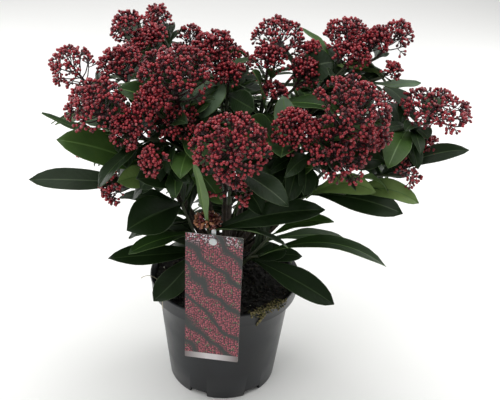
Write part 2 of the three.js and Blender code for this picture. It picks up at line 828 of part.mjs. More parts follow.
// Button in front of the label, neck through its hole and stake behind it, in one piece.
function pinGeometry() {
  const cardFront = labelBack - label.thickness;
  const buttonFront = cardFront - gap - pin.headThickness;
  const stakeAtHole = labelBack + gap + pin.lean * pin.stakeRise / (holeHeight - pin.stakeFoot);
  const neckDepth = stakeAtHole + pin.stakeThickness * 0.6 - buttonFront;
  return toGeometry(toSolid(stakeGeometry(0))
    .add(toSolid(discGeometry(pin.neckRadius, buttonFront, neckDepth)))
    .add(toSolid(discGeometry(pin.headRadius, buttonFront, pin.headThickness))));
}

// ---------- the plant, in the order in which its pieces take their space ----------

function growMass(mass, index) {
  const bough = boughCurve(mass);
  const heading = bough.getTangent(1);
  const shoots = mass.shoots.map((row, i) => {
    const phase = shootStem.massPhase * index + shootStem.shootPhase * i;
    return growShoot(row, bough.v2, heading, phase);
  });
  return { ...mass, bough, heading, shoots, leaves: [], sprays: [], draw: seeded(index + 1) };
}

function holdLimbs(mass) {
  const owner = mass.onCrown ? mass.name : "bough";
  hold(samplesAlong(mass.bough, room.limbStep), limb.baseRadius, owner);
  for (const shoot of mass.shoots) {
    hold(samplesAlong(shoot.stem, room.limbStep), shootStem.radius, mass.name);
  }
}

function holdLabel() {
  const turn = THREE.MathUtils.degToRad(-label.turn);
  for (let z = pot.height; z < label.foot + label.height + room.label; z += room.labelStep) {
    for (let x = -label.width / 2; x <= label.width / 2; x += room.labelStep) {
      const point = new THREE.Vector3(x, labelBack - label.thickness / 2, z);
      hold([point.applyAxisAngle(up, turn)], room.label, "label");
    }
  }
}

function keepLeaf(mass, leaf, ownOverlap) {
  const samples = leafSamples(leaf);
  const clear = isClear(samples, room.leafReach, mass.name, ownOverlap);
  if (clear) {
    hold(samples, room.leafReach, mass.name);
    mass.leaves.push(leaf);
  }
  return clear;
}

function keepSpray(mass, spray) {
  if (isClear([spray.end], head.sprayRadius, mass.name, room.ownOverlap)) {
    hold([spray.end], head.sprayRadius, mass.name);
    hold([spray.start.clone().lerp(spray.end, 0.5)], head.sprayRadius / 2, mass.name);
    mass.sprays.push(spray);
  }
}

function growWhorlLeaf(mass, shoot, index) {
  let grown = false;
  for (let attempt = 0; attempt < whorl.tries && !grown; attempt++) {
    const leaf = whorlLeaf(shoot, index, attempt, mass.draw);
    grown = inCrown(mass, shoot, leaf) && keepLeaf(mass, leaf, 0);
  }
}

function plant() {
  const grown = masses.map(growMass);
  grown.forEach(holdLimbs);
  holdLabel();
  for (const mass of grown) {
    for (const row of placedLeaves[mass.name] ?? []) {
      keepLeaf(mass, placedLeaf(mass.shoots[row.shoot], row), room.ownOverlap);
    }
  }
  for (const mass of grown) {
    for (const shoot of mass.shoots) {
      headSprays(shoot, mass.draw).forEach((spray) => keepSpray(mass, spray));
    }
  }
  for (let index = 0; index < whorl.rows; index++) {
    for (const mass of grown) {
      for (const shoot of mass.shoots.filter((one) => index < one.leaves)) {
        growWhorlLeaf(mass, shoot, index);
      }
    }
  }
  return grown;
}

// The largest body of a union: loose scraps and sealed hollows are left behind.
function mainBody(solid) {
  return solid.decompose().reduce((a, b) => (b.volume() > a.volume() ? b : a));
}

// One mass: the neck that meets the bough, the shoots, the heads' stalks with their sprays, and
// the leaves. A mass on the woody crown has its own bough too.
function massGeometry(mass, crownSpace) {
  const { heading } = mass;
  const fork = mass.bough.v2;
  const pieces = [];
  const add = (geometry) => pieces.push(toSolid(geometry));
  if (mass.onCrown) {
    add(limbGeometry(mass.bough, limb.tipRadius, limb.tipRadius, limb.sides, 5));
  }
  const from = fork.clone().addScaledVector(heading, mass.onCrown ? -2 : gap);
  const to = fork.clone().addScaledVector(heading, shootStem.neck + 2);
  add(stickGeometry(from, to, limb.tipRadius, limb.tipRadius, limb.sides));
  for (const { stem, segments, sprays, collar, axis, tall, pointBelow } of mass.shoots) {
    const { radius, sides, rootInset } = shootStem;
    add(limbGeometry(stem, radius * 1.15, radius, sides, segments));
    if (sprays > 0) {
      const inHead = collar.clone().addScaledVector(axis, tall * head.stalkShare);
      add(stickGeometry(pointBelow(rootInset), inHead, head.stalkRadius, head.stalkTipRadius, sides));
    }
  }
  for (const spray of mass.sprays) {
    add(sprayGeometry(spray));
  }
  for (const leaf of mass.leaves) {
    add(leafGeometry(leaf));
  }
  let solid = wasm.Manifold.union(pieces);
  if (mass.onCrown) {
    solid = solid.subtract(crownSpace);
  }
  return toGeometry(mainBody(solid));
}

// ---------- the scene ----------

const skimmia = new THREE.Group();

function addPiece(name, geometry, colour, roughness) {
  const material = new THREE.MeshStandardMaterial({ color: colour, roughness, metalness: 0 });
  const mesh = new THREE.Mesh(geometry, material);
  mesh.name = name;
  skimmia.add(mesh);
}

addPiece("pot", potGeometry(), colours.pot, 0.45);
addPiece("soil", soilGeometry(), colours.soil, 0.95);
addPiece("label", labelGeometry(), colours.label, 0.4);
addPiece("label_pin", pinGeometry(), colours.pin, 0.35);
addPiece("woody_crown", crownGeometry(0), colours.wood, 0.9);

const crownSpace = toSolid(crownGeometry(gap));
for (const mass of plant()) {
  if (!mass.onCrown) {
    const bough = toSolid(limbGeometry(mass.bough, limb.baseRadius, limb.tipRadius, limb.sides, 3));
    addPiece(`bough_${mass.name}`, toGeometry(mainBody(bough.subtract(crownSpace))), colours.wood, 0.85);
  }
  addPiece(`foliage_${mass.name}`, massGeometry(mass, crownSpace), colours.leaf, 0.4);
}

export default skimmia;
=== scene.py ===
# A flowering skimmia in its nursery pot, with the plant label on its pin.
# Metres in the scene. The plant's tables and its growing rule are in millimetres, as it was drawn.
import math

import bmesh
import bpy
import numpy as np
from mathutils import Matrix, Vector, noise


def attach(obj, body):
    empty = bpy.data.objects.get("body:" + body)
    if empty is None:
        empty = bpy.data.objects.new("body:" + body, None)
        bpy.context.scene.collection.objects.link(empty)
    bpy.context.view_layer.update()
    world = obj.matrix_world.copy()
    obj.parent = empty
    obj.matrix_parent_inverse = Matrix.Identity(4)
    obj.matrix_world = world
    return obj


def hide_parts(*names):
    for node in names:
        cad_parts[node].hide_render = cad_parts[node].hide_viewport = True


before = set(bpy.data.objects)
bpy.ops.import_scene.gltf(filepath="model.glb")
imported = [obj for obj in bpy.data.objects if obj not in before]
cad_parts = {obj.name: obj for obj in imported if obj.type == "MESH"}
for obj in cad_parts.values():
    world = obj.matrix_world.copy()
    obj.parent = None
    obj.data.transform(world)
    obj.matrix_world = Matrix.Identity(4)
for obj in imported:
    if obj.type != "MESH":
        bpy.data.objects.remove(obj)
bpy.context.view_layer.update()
print("frame loaded:", len(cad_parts), "nodes")

mm = 0.001
up = np.array([0.0, 0.0, 1.0])
goldenTurn = math.radians(137.508)


# ---------- colour, materials and mesh helpers ----------

def linear(text):
    channels = [int(text[i:i + 2], 16) / 255 for i in (1, 3, 5)]
    return [c / 12.92 if c <= 0.04045 else ((c + 0.055) / 1.055) ** 2.4 for c in channels] + [1.0]


def addNode(tree, kind, settings=(), links=()):
    made = tree.nodes.new(kind)
    for key, value in dict(settings).items():
        if isinstance(key, int) or key in made.inputs:
            made.inputs[key].default_value = value
        else:
            setattr(made, key, value)
    for key, source in dict(links).items():
        tree.links.new(source, made.inputs[key])
    return made


def newMaterial(name, settings):
    material = bpy.data.materials.new(name)
    material.use_nodes = True
    tree = material.node_tree
    tree.nodes.clear()
    shader = addNode(tree, "ShaderNodeBsdfPrincipled", settings)
    addNode(tree, "ShaderNodeOutputMaterial", links={"Surface": shader.outputs[0]})
    return material, tree, shader


# low and high are each a hex colour or a socket
def mixColours(tree, factor, low, high):
    made = addNode(tree, "ShaderNodeMix", {"data_type": "RGBA"}, {0: factor})
    for socket, value in ((6, low), (7, high)):
        if isinstance(value, str):
            made.inputs[socket].default_value = linear(value)
        else:
            tree.links.new(value, made.inputs[socket])
    return made.outputs[2]


def colourBy(tree, shader, factor, low, high):
    tree.links.new(mixColours(tree, factor, low, high), shader.inputs["Base Color"])


# a number is set on its socket, and anything else is linked to it
def maths(tree, operation, *values):
    made = addNode(tree, "ShaderNodeMath", {"operation": operation})
    for socket, value in enumerate(values):
        if isinstance(value, float):
            made.inputs[socket].default_value = value
        else:
            tree.links.new(value, made.inputs[socket])
    return made.outputs[0]


# from the value that gives 0 to the value that gives 1
def ramp(tree, value, low, high):
    return addNode(tree, "ShaderNodeMapRange", {"From Min": low, "From Max": high},
                   {"Value": value}).outputs[0]


def objectPlace(tree, **mapping):
    place = addNode(tree, "ShaderNodeTexCoord").outputs["Object"]
    if not mapping:
        return place
    return addNode(tree, "ShaderNodeMapping", mapping, {"Vector": place}).outputs[0]


def noiseOf(tree, place, sizeMm, detail=3.0):
    return addNode(tree, "ShaderNodeTexNoise", {"Scale": 1000 / sizeMm, "Detail": detail},
                   {"Vector": place}).outputs["Fac"]


def bumpOf(tree, shader, height, depthMm):
    bump = addNode(tree, "ShaderNodeBump", {"Strength": 1.0, "Distance": depthMm * mm},
                   {"Height": height})
    tree.links.new(bump.outputs[0], shader.inputs["Normal"])


# a material whose colour drifts between two, by a noise of this size
def mottled(name, sizeMm, low, high, settings):
    material, tree, shader = newMaterial(name, settings)
    colourBy(tree, shader, noiseOf(tree, objectPlace(tree), sizeMm), low, high)
    return material, tree, shader


def finished(obj, material, *nodes, slot=None):
    for one in material if isinstance(material, list) else [material]:
        obj.data.materials.append(one)
    if nodes:
        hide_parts(*nodes)
    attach(obj, "root")


def objectOf(name, mesh):
    obj = bpy.data.objects.new(name, mesh)
    bpy.context.scene.collection.objects.link(obj)
    return obj


def fromBmesh(name, bm, smooth=True):
    mesh = bpy.data.meshes.new(name)
    bm.to_mesh(mesh)
    bm.free()
    if smooth:
        mesh.shade_smooth()
    return objectOf(name, mesh)


# many small shapes in one mesh: points in millimetres, faces as rows of corners
def fromArrays(name, points, faces, slots=None, smooth=True):
    mesh = bpy.data.meshes.new(name)
    mesh.from_pydata((points * mm).tolist(), [], faces.tolist())
    if slots is not None:
        mesh.polygons.foreach_set("material_index", slots.astype(np.int32))
    if smooth:
        mesh.shade_smooth()
    return objectOf(name, mesh)


def addBox(bm, width, depth, height):
    made = bmesh.ops.create_cube(bm, size=mm)["verts"]
    bmesh.ops.scale(bm, verts=made, vec=(width, depth, height))
    return made


def addDrum(bm, segments, radius, depth):
    return bmesh.ops.create_cone(bm, cap_ends=True, segments=segments, radius1=radius * mm,
                                 radius2=radius * mm, depth=depth * mm)["verts"]


def moveBy(bm, verts, x, y, z):
    bmesh.ops.translate(bm, verts=verts, vec=(x * mm, y * mm, z * mm))


def turnBy(bm, verts, radians, axis):
    bmesh.ops.rotate(bm, verts=verts, cent=(0, 0, 0), matrix=Matrix.Rotation(radians, 3, axis))


def roundOff(bm, edges, radius, segments):
    return bmesh.ops.bevel(bm, geom=edges, offset=radius * mm, affect="EDGES", segments=segments,
                           profile=0.5, material=-1)["verts"]


def closeUp(bm, least):
    bmesh.ops.remove_doubles(bm, verts=bm.verts, dist=least)
    bmesh.ops.recalc_face_normals(bm, faces=bm.faces)


def crease(obj, degrees=40):
    creases = obj.modifiers.new("creases", "EDGE_SPLIT")
    creases.split_angle = math.radians(degrees)


# for each of many ways, two that are square to it and to each other
def squareTo(ways):
    aside = np.where(np.abs(ways[:, 2:]) > 0.9, [[1.0, 0, 0]], [[0, 0, 1.0]])
    across = np.cross(aside, ways)
    across /= np.linalg.norm(across, axis=1, keepdims=True)
    return across, np.cross(ways, across)


# the faces of a small shape of some points, for each of many copies
def copiesOf(faces, points, count):
    return (faces[None] + (np.arange(count) * points)[:, None, None]).reshape(-1, faces.shape[1])


# the points and faces of a small bmesh, to be repeated
def templateOf(bm, triangles=True):
    if triangles:
        bmesh.ops.triangulate(bm, faces=bm.faces)
    bm.verts.index_update()
    points = np.array([v.co[:] for v in bm.verts])
    faces = np.array([[v.index for v in f.verts] for f in bm.faces])
    bm.free()
    return points, faces


# ---------- the plant's tables, as its solids were drawn ----------

soilTop = 147.0
gap = 0.3
pot = {"height": 152, "rimRadius": 95, "bandHeight": 20, "bodyTopRadius": 84.5, "footRadius": 70,
       "wall": 2.4, "notches": 6, "notchWidth": 24, "notchHeight": 8, "notchDepth": 8,
       "notchTurn": 35}
woodyCrown = {"height": 56, "groundRadius": 23, "waistRadius": 14, "topRadius": 17}
limb = {"baseRadius": 3.5, "tipRadius": 2.7, "startRadius": 10, "startShare": 0.3, "lowStart": 12,
        "highStart": 8, "steepness": 1.15, "forkShare": 0.45, "lowForkRise": 0.3, "sweep": 0.58}
shootStem = {"radius": 1.9, "segmentLength": 40, "neck": 7, "heading": 0.42, "upright": 0.6,
             "rootInset": 3, "endShare": 0.02, "massPhase": 1.7, "shootPhase": 2.1}
leafShape = {"length": 92, "width": 27, "petioleWidth": 3.4, "fold": 0.22, "towardsTip": 1.5,
             "fullness": 0.72}
whorl = {"rows": 9, "firstDrop": 5, "dropStep": 8.5, "tilt": 60, "tiltStep": 4, "tiltSpread": 12,
         "droop": 0.12, "droopStep": 0.05, "droopSpread": 0.2, "leastLength": 0.82,
         "lengthSpread": 0.3, "leastWidth": 0.85, "widthSpread": 0.25, "tries": 4,
         "retryTurn": 0.6, "retryShrink": 0.09}
crown = {"radius": 246, "underside": 255, "lowUnderside": 170, "innerRadius": 90, "rise": 0.5}
head = {"sprayRadius": 7.6, "skirt": 128, "crowding": 1.2, "leastReach": 0.84,
        "lowestSpray": 0.08, "highestSpray": 0.58, "stalkShare": 0.62}
room = {"leafReach": 2.2, "margin": 1.2, "ownOverlap": 3, "overPot": 3, "label": 4,
        "labelStep": 8, "limbStep": 6}
label = {"width": 65, "height": 176, "thickness": 0.8, "foot": 87, "turn": 8, "holeDrop": 8,
         "holeShift": -1}
pin = {"headRadius": 4.6, "headThickness": 1.4, "neckRadius": 2.2, "stakeWidth": 5,
       "stakeThickness": 1.6, "stakeFoot": 96, "stakeRise": 15, "lean": 27}

# each shoot: centre of its head of buds, how wide and tall that is, its sprays and its leaves
masses = {
    "left": {"turn": -10, "shoots": [
        ((-172, -20, 424), 64, 58, 8, 6), ((-121, -15, 428), 66, 46, 7, 5),
        ((-165, -35, 332), 24, 18, 2, 0)]},
    "left_front": {"shoots": [
        ((-138, -75, 404), 78, 56, 9, 6), ((-127, -70, 307), 52, 36, 5, 0, (-1, -0.1, 0.1))]},
    "top_left": {"shoots": [
        ((-117, 30, 456), 52, 46, 6, 5), ((-88, 70, 455), 40, 42, 5, 5),
        ((-51, 80, 429), 40, 46, 4, 4), ((-94, 25, 445), 56, 34, 6, 0)]},
    "front_left": {"shoots": [
        ((-60, -52, 429), 96, 76, 12, 7), ((-78, -118, 362), 38, 44, 5, 7),
        ((-102, -88, 387), 62, 46, 6, 3), ((-57, -70, 385), 60, 34, 5, 4),
        ((-81, -80, 413), 50, 38, 5, 0)]},
    "centre": {"shoots": [
        ((-21, 10, 438), 68, 58, 9, 7), ((-3, -14, 422), 46, 30, 4, 0)]},
    "top_centre": {"turn": 34, "shoots": [
        ((52, 28, 447), 70, 64, 8, 7), ((89, 15, 442), 28, 30, 3, 2),
        ((48, -20, 405), 40, 22, 4, 3), ((80, 0, 421), 48, 46, 5, 0), ((40, 2, 434), 52, 42, 5, 0)]},
    "top_right": {"shoots": [
        ((129, 20, 455), 70, 56, 8, 5), ((178, 10, 461), 46, 52, 5, 0),
        ((174, -20, 435), 30, 24, 3, 0), ((130, -12, 447), 54, 34, 5, 0),
        ((157, 4, 459), 40, 44, 4, 0)]},
    "right_front": {"shoots": [
        ((127, -90, 411), 102, 76, 12, 7), ((65, -105, 396), 58, 60, 8, 7),
        ((109, -108, 378), 92, 30, 7, 2), ((145, -92, 382), 34, 50, 5, 0)]},
    "right": {"turn": 8, "shoots": [
        ((225, -32, 396), 92, 34, 11, 6, (0.1, -0.15, 1)),
        ((217, -45, 358), 42, 30, 4, 1, (0.2, -0.3, 1))]},
    "right_low": {"turn": -8, "shoots": [
        ((197, -70, 337), 50, 20, 3, 3), ((133, -80, 315), 22, 14, 0, 2)]},
    "front": {"shoots": [((2, -130, 387), 92, 68, 14, 8), ((6, -112, 334), 60, 32, 4, 2)]},
    "back_left": {"shoots": [
        ((-120, 140, 388), 70, 56, 7, 6), ((-58, 178, 345), 54, 44, 5, 5)]},
    "back": {"shoots": [((2, 120, 386), 64, 54, 6, 6), ((22, 190, 330), 60, 46, 6, 4)]},
    "back_right": {"shoots": [
        ((108, 120, 396), 68, 56, 7, 6), ((120, 175, 338), 58, 46, 5, 5)]},
    "left_back": {"shoots": [((-178, 82, 348), 66, 50, 6, 7)]},
    "right_back": {"shoots": [((202, 82, 352), 66, 50, 6, 7)]},
    "front_low": {"onCrown": True, "shoots": [((-21, -86, 276), 38, 20, 4, 0, (0, 0.1, 1))]},
    "low_left": {"onCrown": True, "shoots": [
        ((-54, -40, 277), 12, 10, 0, 4), ((-44, -42, 214), 12, 10, 0, 0)]},
    "low_right": {"onCrown": True, "shoots": [
        ((54, -42, 238), 12, 10, 0, 0), ((42, -44, 206), 12, 10, 0, 0)]},
    "low_back": {"onCrown": True, "shoots": [
        ((-30, 74, 262), 12, 10, 0, 7), ((48, 66, 254), 12, 10, 0, 7)]},
}

# leaves with a place of their own: shoot, how far below its head, tip, width, arch, roll, tone
placedLeaves = {
    "left_front": [
        (1, 14, (-221, -60, 307), 28, 1, 35, "dark"), (1, 34, (-113, -104, 331), 26, 4, 60, "pale"),
        (0, 92, (-176, -95, 374), 42, 4, 45, "fresh"), (0, 18, (-204, -40, 379), 15, -8, 0, "mid")],
    "front_left": [
        (0, 6, (-116, -72, 423), 26, 3, 40, "mid"), (0, 30, (-10, -14, 413), 36, 2, 20, "sheenGrey"),
        (1, 76, (-90, -124, 348), 34, -4, 40, "dark"), (3, 34, (-49, -127, 350), 28, 8, 0, "fresh")],
    "front_low": [
        (0, 3, (-32, -144, 378), 16, -1, 30, "mid"), (0, 5, (69, -104, 258), 23, 10, -20, "dark"),
        (0, 8, (104, -108, 308), 30, 7, 40, "dark")],
    "low_left": [
        (0, 0, (-103, -122, 285), 46, 3, 42, "dark"), (0, 26, (-104, -66, 243), 22, 3, 0, "dark"),
        (0, 46, (-108, -95, 238), 22, 4, 15, "mid"), (1, 24, (-133, -82, 221), 30, -1, 25, "dark"),
        (1, 18, (-84, -74, 157), 34, -6, 25, "dark")],
    "front": [
        (0, 84, (92, -78, 314), 28, 2, 35, "dark")],
    "low_right": [
        (1, 20, (134, -64, 152), 35, 3, 30, "dark"), (1, 3, (192, -58, 206), 25, 26, 10, "mid"),
        (0, 12, (150, 8, 202), 22, 6, 10, "mid"), (0, 0, (124, -52, 262), 18, 8, 20, "fresh")],
    "right_low": [
        (1, 44, (186, -112, 309), 32, 6, 45, "dark"), (1, 56, (154, -112, 333), 24, 14, 60, "pale"),
        (1, 0, (208, -92, 311), 26, 12, 30, "pale"), (0, 20, (262, -60, 362), 20, 8, 45, "dark")],
    "top_right": [
        (2, 16, (211, -6, 418), 14, -3, 20, "sheenGrey"), (0, 6, (146, -24, 440), 18, 2, 30, "pale")],
    "top_centre": [
        (1, 22, (112, -4, 436), 38, 4, 60, "dark"), (2, 20, (25, -44, 437), 28, 2, 60, "mid")],
    "right_front": [
        (1, 40, (52, -126, 378), 32, 12, 0, "mid"), (0, 26, (168, -92, 388), 26, 8, 20, "fresh"),
        (1, 10, (54, -62, 417), 24, 0, 30, "sheenGrey"), (2, 24, (166, -82, 356), 32, 2, 40, "dark"),
        (1, 66, (84, -104, 356), 26, 2, 60, "fresh"),
        (1, 50, (21, -98, 406), 26, 9, 65, "mid")],
    "centre": [(1, 12, (24, -72, 404), 28, 0, 60, "dark")],
}


# ---------- the growing rule ----------

# draws from 0 to 1, the same ones wherever the seed is the same
def seeded(seed):
    state = seed
    word = 0xFFFFFFFF

    def draw():
        nonlocal state
        state = (state + 0x6D2B79F5) & word
        t = state
        t = ((t ^ (t >> 15)) * (t | 1)) & word
        t ^= (t + (((t ^ (t >> 7)) * (t | 61)) & word)) & word
        return ((t ^ (t >> 14)) & word) / (word + 1)

    return draw


def unit(v):
    return v / np.linalg.norm(v)


def lerp(a, b, t):
    return a + (b - a) * t


def turned(v, axis, angle):
    axis = unit(np.asarray(axis, float))
    return (v * math.cos(angle) + np.cross(axis, v) * math.sin(angle)
            + axis * np.dot(axis, v) * (1 - math.cos(angle)))


# a curve is its three control points, and t may be a number or an array
def pointAt(curve, t):
    t = np.asarray(t, float)[..., None]
    return (1 - t) ** 2 * curve[0] + 2 * t * (1 - t) * curve[1] + t ** 2 * curve[2]


def tangentAt(curve, t):
    t = np.asarray(t, float)[..., None]
    way = 2 * (1 - t) * (curve[1] - curve[0]) + 2 * t * (curve[2] - curve[1])
    return way / np.linalg.norm(way, axis=-1, keepdims=True)


def lengthOf(curve):
    points = pointAt(curve, np.linspace(0, 1, 201))
    return np.linalg.norm(np.diff(points, axis=0), axis=1).sum()


def acrossOf(curve):
    first = curve[1] - curve[0]
    last = curve[2] - curve[1]
    across = np.cross(first, last)
    if np.linalg.norm(across) > 1e-3 * np.linalg.norm(first) * np.linalg.norm(last):
        return unit(across)
    aside = np.array([1.0, 0, 0]) if abs(first[2]) > 0.9 * np.linalg.norm(first) else up
    return unit(np.cross(aside, first))


# how wide a leaf is along its midrib, as a share of its widest
def bladeShare(t):
    return np.sin(math.pi * np.clip(t, 0, 1) ** leafShape["towardsTip"]) ** leafShape["fullness"]


# where a leaf is sampled for what it would touch: along its midrib, and across to both sides
sampleAlong, sampleAcross = (rows.ravel() for rows in np.meshgrid(
    np.arange(3, 15) / 14, [-0.9, -0.45, 0, 0.45, 0.9], indexing="ij"))
sampleAcross = np.where(sampleAlong < 1, sampleAcross, 0)


def leafSamples(leaf):
    normal = np.cross(tangentAt(leaf["midrib"], sampleAlong), leaf["side"])
    half = leaf["width"] / 2 * bladeShare(sampleAlong)
    reach = (sampleAcross * np.maximum(leafShape["petioleWidth"] / 2, half))[:, None]
    return (pointAt(leaf["midrib"], sampleAlong) + leaf["side"] * reach
            + normal * (np.abs(reach) * leafShape["fold"]))


# what the plant already holds: points, radius, owner and the box round them
held = []


def hold(points, radius, owner):
    points = np.atleast_2d(points)
    held.append((points, radius, owner, points.min(0), points.max(0)))


# true where nothing held is too near; shapes of the same owner may overlap a little
def isClear(points, radius, owner, ownOverlap, margin=room["margin"]):
    points = np.atleast_2d(points)
    overPot = room["overPot"]
    if np.any((points[:, 2] < pot["height"] + overPot)
              & (np.hypot(points[:, 0], points[:, 1]) < pot["rimRadius"] + overPot)):
        return False
    low, high = points.min(0), points.max(0)
    for others, otherRadius, otherOwner, otherLow, otherHigh in held:
        least = radius + otherRadius + (-ownOverlap if otherOwner == owner else margin)
        if np.any(otherLow > high + least) or np.any(otherHigh < low - least):
            continue
        away = ((points[:, None] - others[None]) ** 2).sum(-1)
        if away.min() <= least * least:
            return False
    return True


groundHeight = soilTop + gap
crownTop = groundHeight + woodyCrown["height"]


def boughCurve(mass):
    goal = np.mean([shoot[0] for shoot in mass["shoots"]], axis=0)
    low, high = groundHeight + limb["lowStart"], crownTop - limb["highStart"]
    onCrown = mass.get("onCrown", False)
    rise = lerp(low, goal[2], limb["lowForkRise"]) if onCrown else (crownTop + goal[2]) / 2
    fork = np.array([*goal[:2] * limb["forkShare"], rise])
    steep = math.atan2(fork[2] - crownTop, math.hypot(fork[0], fork[1])) / (math.pi / 2)
    start = turned(np.array([fork[0], fork[1], 0.0]), up, math.radians(mass.get("turn", 0)))
    out = np.linalg.norm(start)
    start = start / out * min(limb["startRadius"], out * limb["startShare"])
    start[2] = low if onCrown else lerp(low, high, min(1, steep * limb["steepness"]))
    sweep = limb["sweep"]
    return np.array([start, lerp(start, fork, np.array([sweep, sweep, 1 - sweep])), fork])


def growShoot(row, fork, heading, phase):
    at, wide, tall, sprays, leaves = row[:5]
    at = np.array(at, float)
    start = fork + heading * shootStem["neck"]
    control = start + heading * np.linalg.norm(at - start) * shootStem["heading"]
    rising = unit(at - control) + up * shootStem["upright"]
    axis = unit(np.array(row[5], float) if len(row) > 5 else rising)
    collar = at - axis * tall / 2
    stem = np.array([start, control, collar])
    length = lengthOf(stem)
    segments = max(2, math.floor(length / shootStem["segmentLength"] + 0.5))
    corners = pointAt(stem, np.linspace(0, 1, segments + 1))
    return {"at": at, "wide": wide, "tall": tall, "sprays": sprays, "leaves": leaves,
            "axis": axis, "across": acrossOf([collar, at, at + axis]), "collar": collar,
            "stem": stem, "length": length, "corners": corners, "phase": phase}


# the point of a shoot's stem at a distance below its head
def pointBelow(shoot, distance):
    segments = len(shoot["corners"]) - 1
    share = 1 - max(distance, shootStem["rootInset"]) / shoot["length"]
    along = min(max(share, shootStem["endShare"]), 1 - shootStem["endShare"]) * segments
    corner = math.floor(along)
    return lerp(shoot["corners"][corner], shoot["corners"][corner + 1], along - corner)


# where a spray of a head starts and ends, by its share of the way from the top down the skirt
def sprayLine(shoot, share, turn, reach):
    radius = head["sprayRadius"]
    wide = max(shoot["wide"] / 2 - radius, 1)
    tall = max(shoot["tall"] / 2 - radius, 1)
    other = np.cross(shoot["axis"], shoot["across"])
    low = 1 - math.cos(math.radians(head["skirt"]))
    polar = math.acos(1 - share ** head["crowding"] * low)
    end = (shoot["at"] + shoot["across"] * math.sin(polar) * math.cos(turn) * wide * reach
           + other * math.sin(polar) * math.sin(turn) * wide * reach
           + shoot["axis"] * math.cos(polar) * tall * reach)
    height = lerp(head["highestSpray"], head["lowestSpray"], share)
    return shoot["collar"] + shoot["axis"] * shoot["tall"] * height, end


def headSprays(shoot, draw):
    for i in range(shoot["sprays"]):
        share = (i + 0.5) / shoot["sprays"]
        reach = lerp(head["leastReach"], 1, draw())
        yield sprayLine(shoot, share, shoot["phase"] + i * goldenTurn, reach)


def placedLeaf(shoot, row):
    _, below, tip, width, arch, roll, tone = row
    base = pointBelow(shoot, below)
    tip = np.array(tip, float)
    chord = unit(tip - base)
    facing = math.radians(-roll if chord[0] < 0 else roll)
    side = turned(unit(np.cross(up, chord)), chord, facing)
    control = lerp(base, tip, 0.5) + up * 2 * arch
    return {"midrib": np.array([base, control, tip]), "side": side, "width": width, "tone": tone}


def whorlLeaf(shoot, index, attempt, draw, steeper=0):
    base = pointBelow(shoot, whorl["firstDrop"] + whorl["dropStep"] * index)
    axis = shoot["axis"]
    turn = shoot["phase"] + index * goldenTurn + attempt * whorl["retryTurn"]
    radial = turned(shoot["across"], axis, turn)
    tilt = whorl["tilt"] - steeper + whorl["tiltStep"] * index + whorl["tiltSpread"] * draw()
    tilt = math.radians(tilt)
    share = whorl["leastLength"] + whorl["lengthSpread"] * draw()
    length = leafShape["length"] * (share * (1 - whorl["retryShrink"] * attempt))
    out = axis * math.cos(tilt) + radial * math.sin(tilt)
    droop = whorl["droop"] + whorl["droopStep"] * index + whorl["droopSpread"] * draw()
    tip = base + unit(out - up * droop) * length
    width = leafShape["width"] * (whorl["leastWidth"] + whorl["widthSpread"] * draw())
    return {"midrib": np.array([base, base + out * length / 2, tip]),
            "side": unit(np.cross(axis, out)), "width": width, "tone": ""}


# a leaf's tip stays under its head, over the plant's underside and within its reach
def inCrown(mass, shoot, leaf):
    tip = leaf["midrib"][2]
    reach = math.hypot(tip[0], tip[1])
    inner = crown["innerRadius"]
    outward = max(0, reach - inner) + max(0, -tip[1] - inner)
    underside = crown["underside"] + crown["rise"] * outward
    if mass.get("onCrown"):
        underside = crown["lowUnderside"]
    return tip[2] < shoot["at"][2] and tip[2] > underside and reach < crown["radius"]


def keepLeaf(mass, leaf, ownOverlap, margin=room["margin"]):
    samples = leafSamples(leaf)
    clear = isClear(samples, room["leafReach"], mass["name"], ownOverlap, margin)
    if clear:
        hold(samples, room["leafReach"], mass["name"])
        mass["leaves"].append(leaf)
    return clear


labelBack = -(pot["rimRadius"] + gap)
holeHeight = label["foot"] + label["height"] - label["holeDrop"]


# every shoot, with its mass
def shootsOf(masses):
    return [(mass, shoot) for mass in masses for shoot in mass["shoots"]]


def growPlant():
    grown = []
    for index, (name, row) in enumerate(masses.items()):
        bough = boughCurve(row)
        heading = tangentAt(bough, 1)
        shoots = [growShoot(shoot, bough[2], heading,
                            shootStem["massPhase"] * index + shootStem["shootPhase"] * i)
                  for i, shoot in enumerate(row["shoots"])]
        grown.append({**row, "name": name, "bough": bough, "heading": heading, "shoots": shoots,
                      "leaves": [], "draw": seeded(index + 1)})

    def along(curve):
        count = max(1, math.ceil(lengthOf(curve) / room["limbStep"]))
        return pointAt(curve, np.linspace(0, 1, count + 1))

    for mass in grown:
        owner = mass["name"] if mass.get("onCrown") else "bough"
        hold(along(mass["bough"]), limb["baseRadius"], owner)
        for shoot in mass["shoots"]:
            hold(along(shoot["stem"]), shootStem["radius"], mass["name"])
    step = room["labelStep"]
    middle = labelBack - label["thickness"] / 2
    card = [turned(np.array([x, middle, z]), up, math.radians(-label["turn"]))
            for z in np.arange(pot["height"], label["foot"] + label["height"] + room["label"], step)
            for x in np.arange(-label["width"] / 2, label["width"] / 2 + 1e-6, step)]
    hold(np.array(card), room["label"], "label")
    for mass in grown:
        for row in placedLeaves.get(mass["name"], []):
            keepLeaf(mass, placedLeaf(mass["shoots"][row[0]], row), room["ownOverlap"])
    for mass, shoot in shootsOf(grown):
        for start, end in headSprays(shoot, mass["draw"]):
            if isClear(end, head["sprayRadius"], mass["name"], room["ownOverlap"]):
                hold(end, head["sprayRadius"], mass["name"])
                hold(lerp(start, end, 0.5), head["sprayRadius"] / 2, mass["name"])
    for index in range(whorl["rows"]):
        for mass, shoot in shootsOf(grown):
            for attempt in range(whorl["tries"] if index < shoot["leaves"] else 0):
                leaf = whorlLeaf(shoot, index, attempt, mass["draw"])
                if inCrown(mass, shoot, leaf) and keepLeaf(mass, leaf, 0):
                    break
    return grown


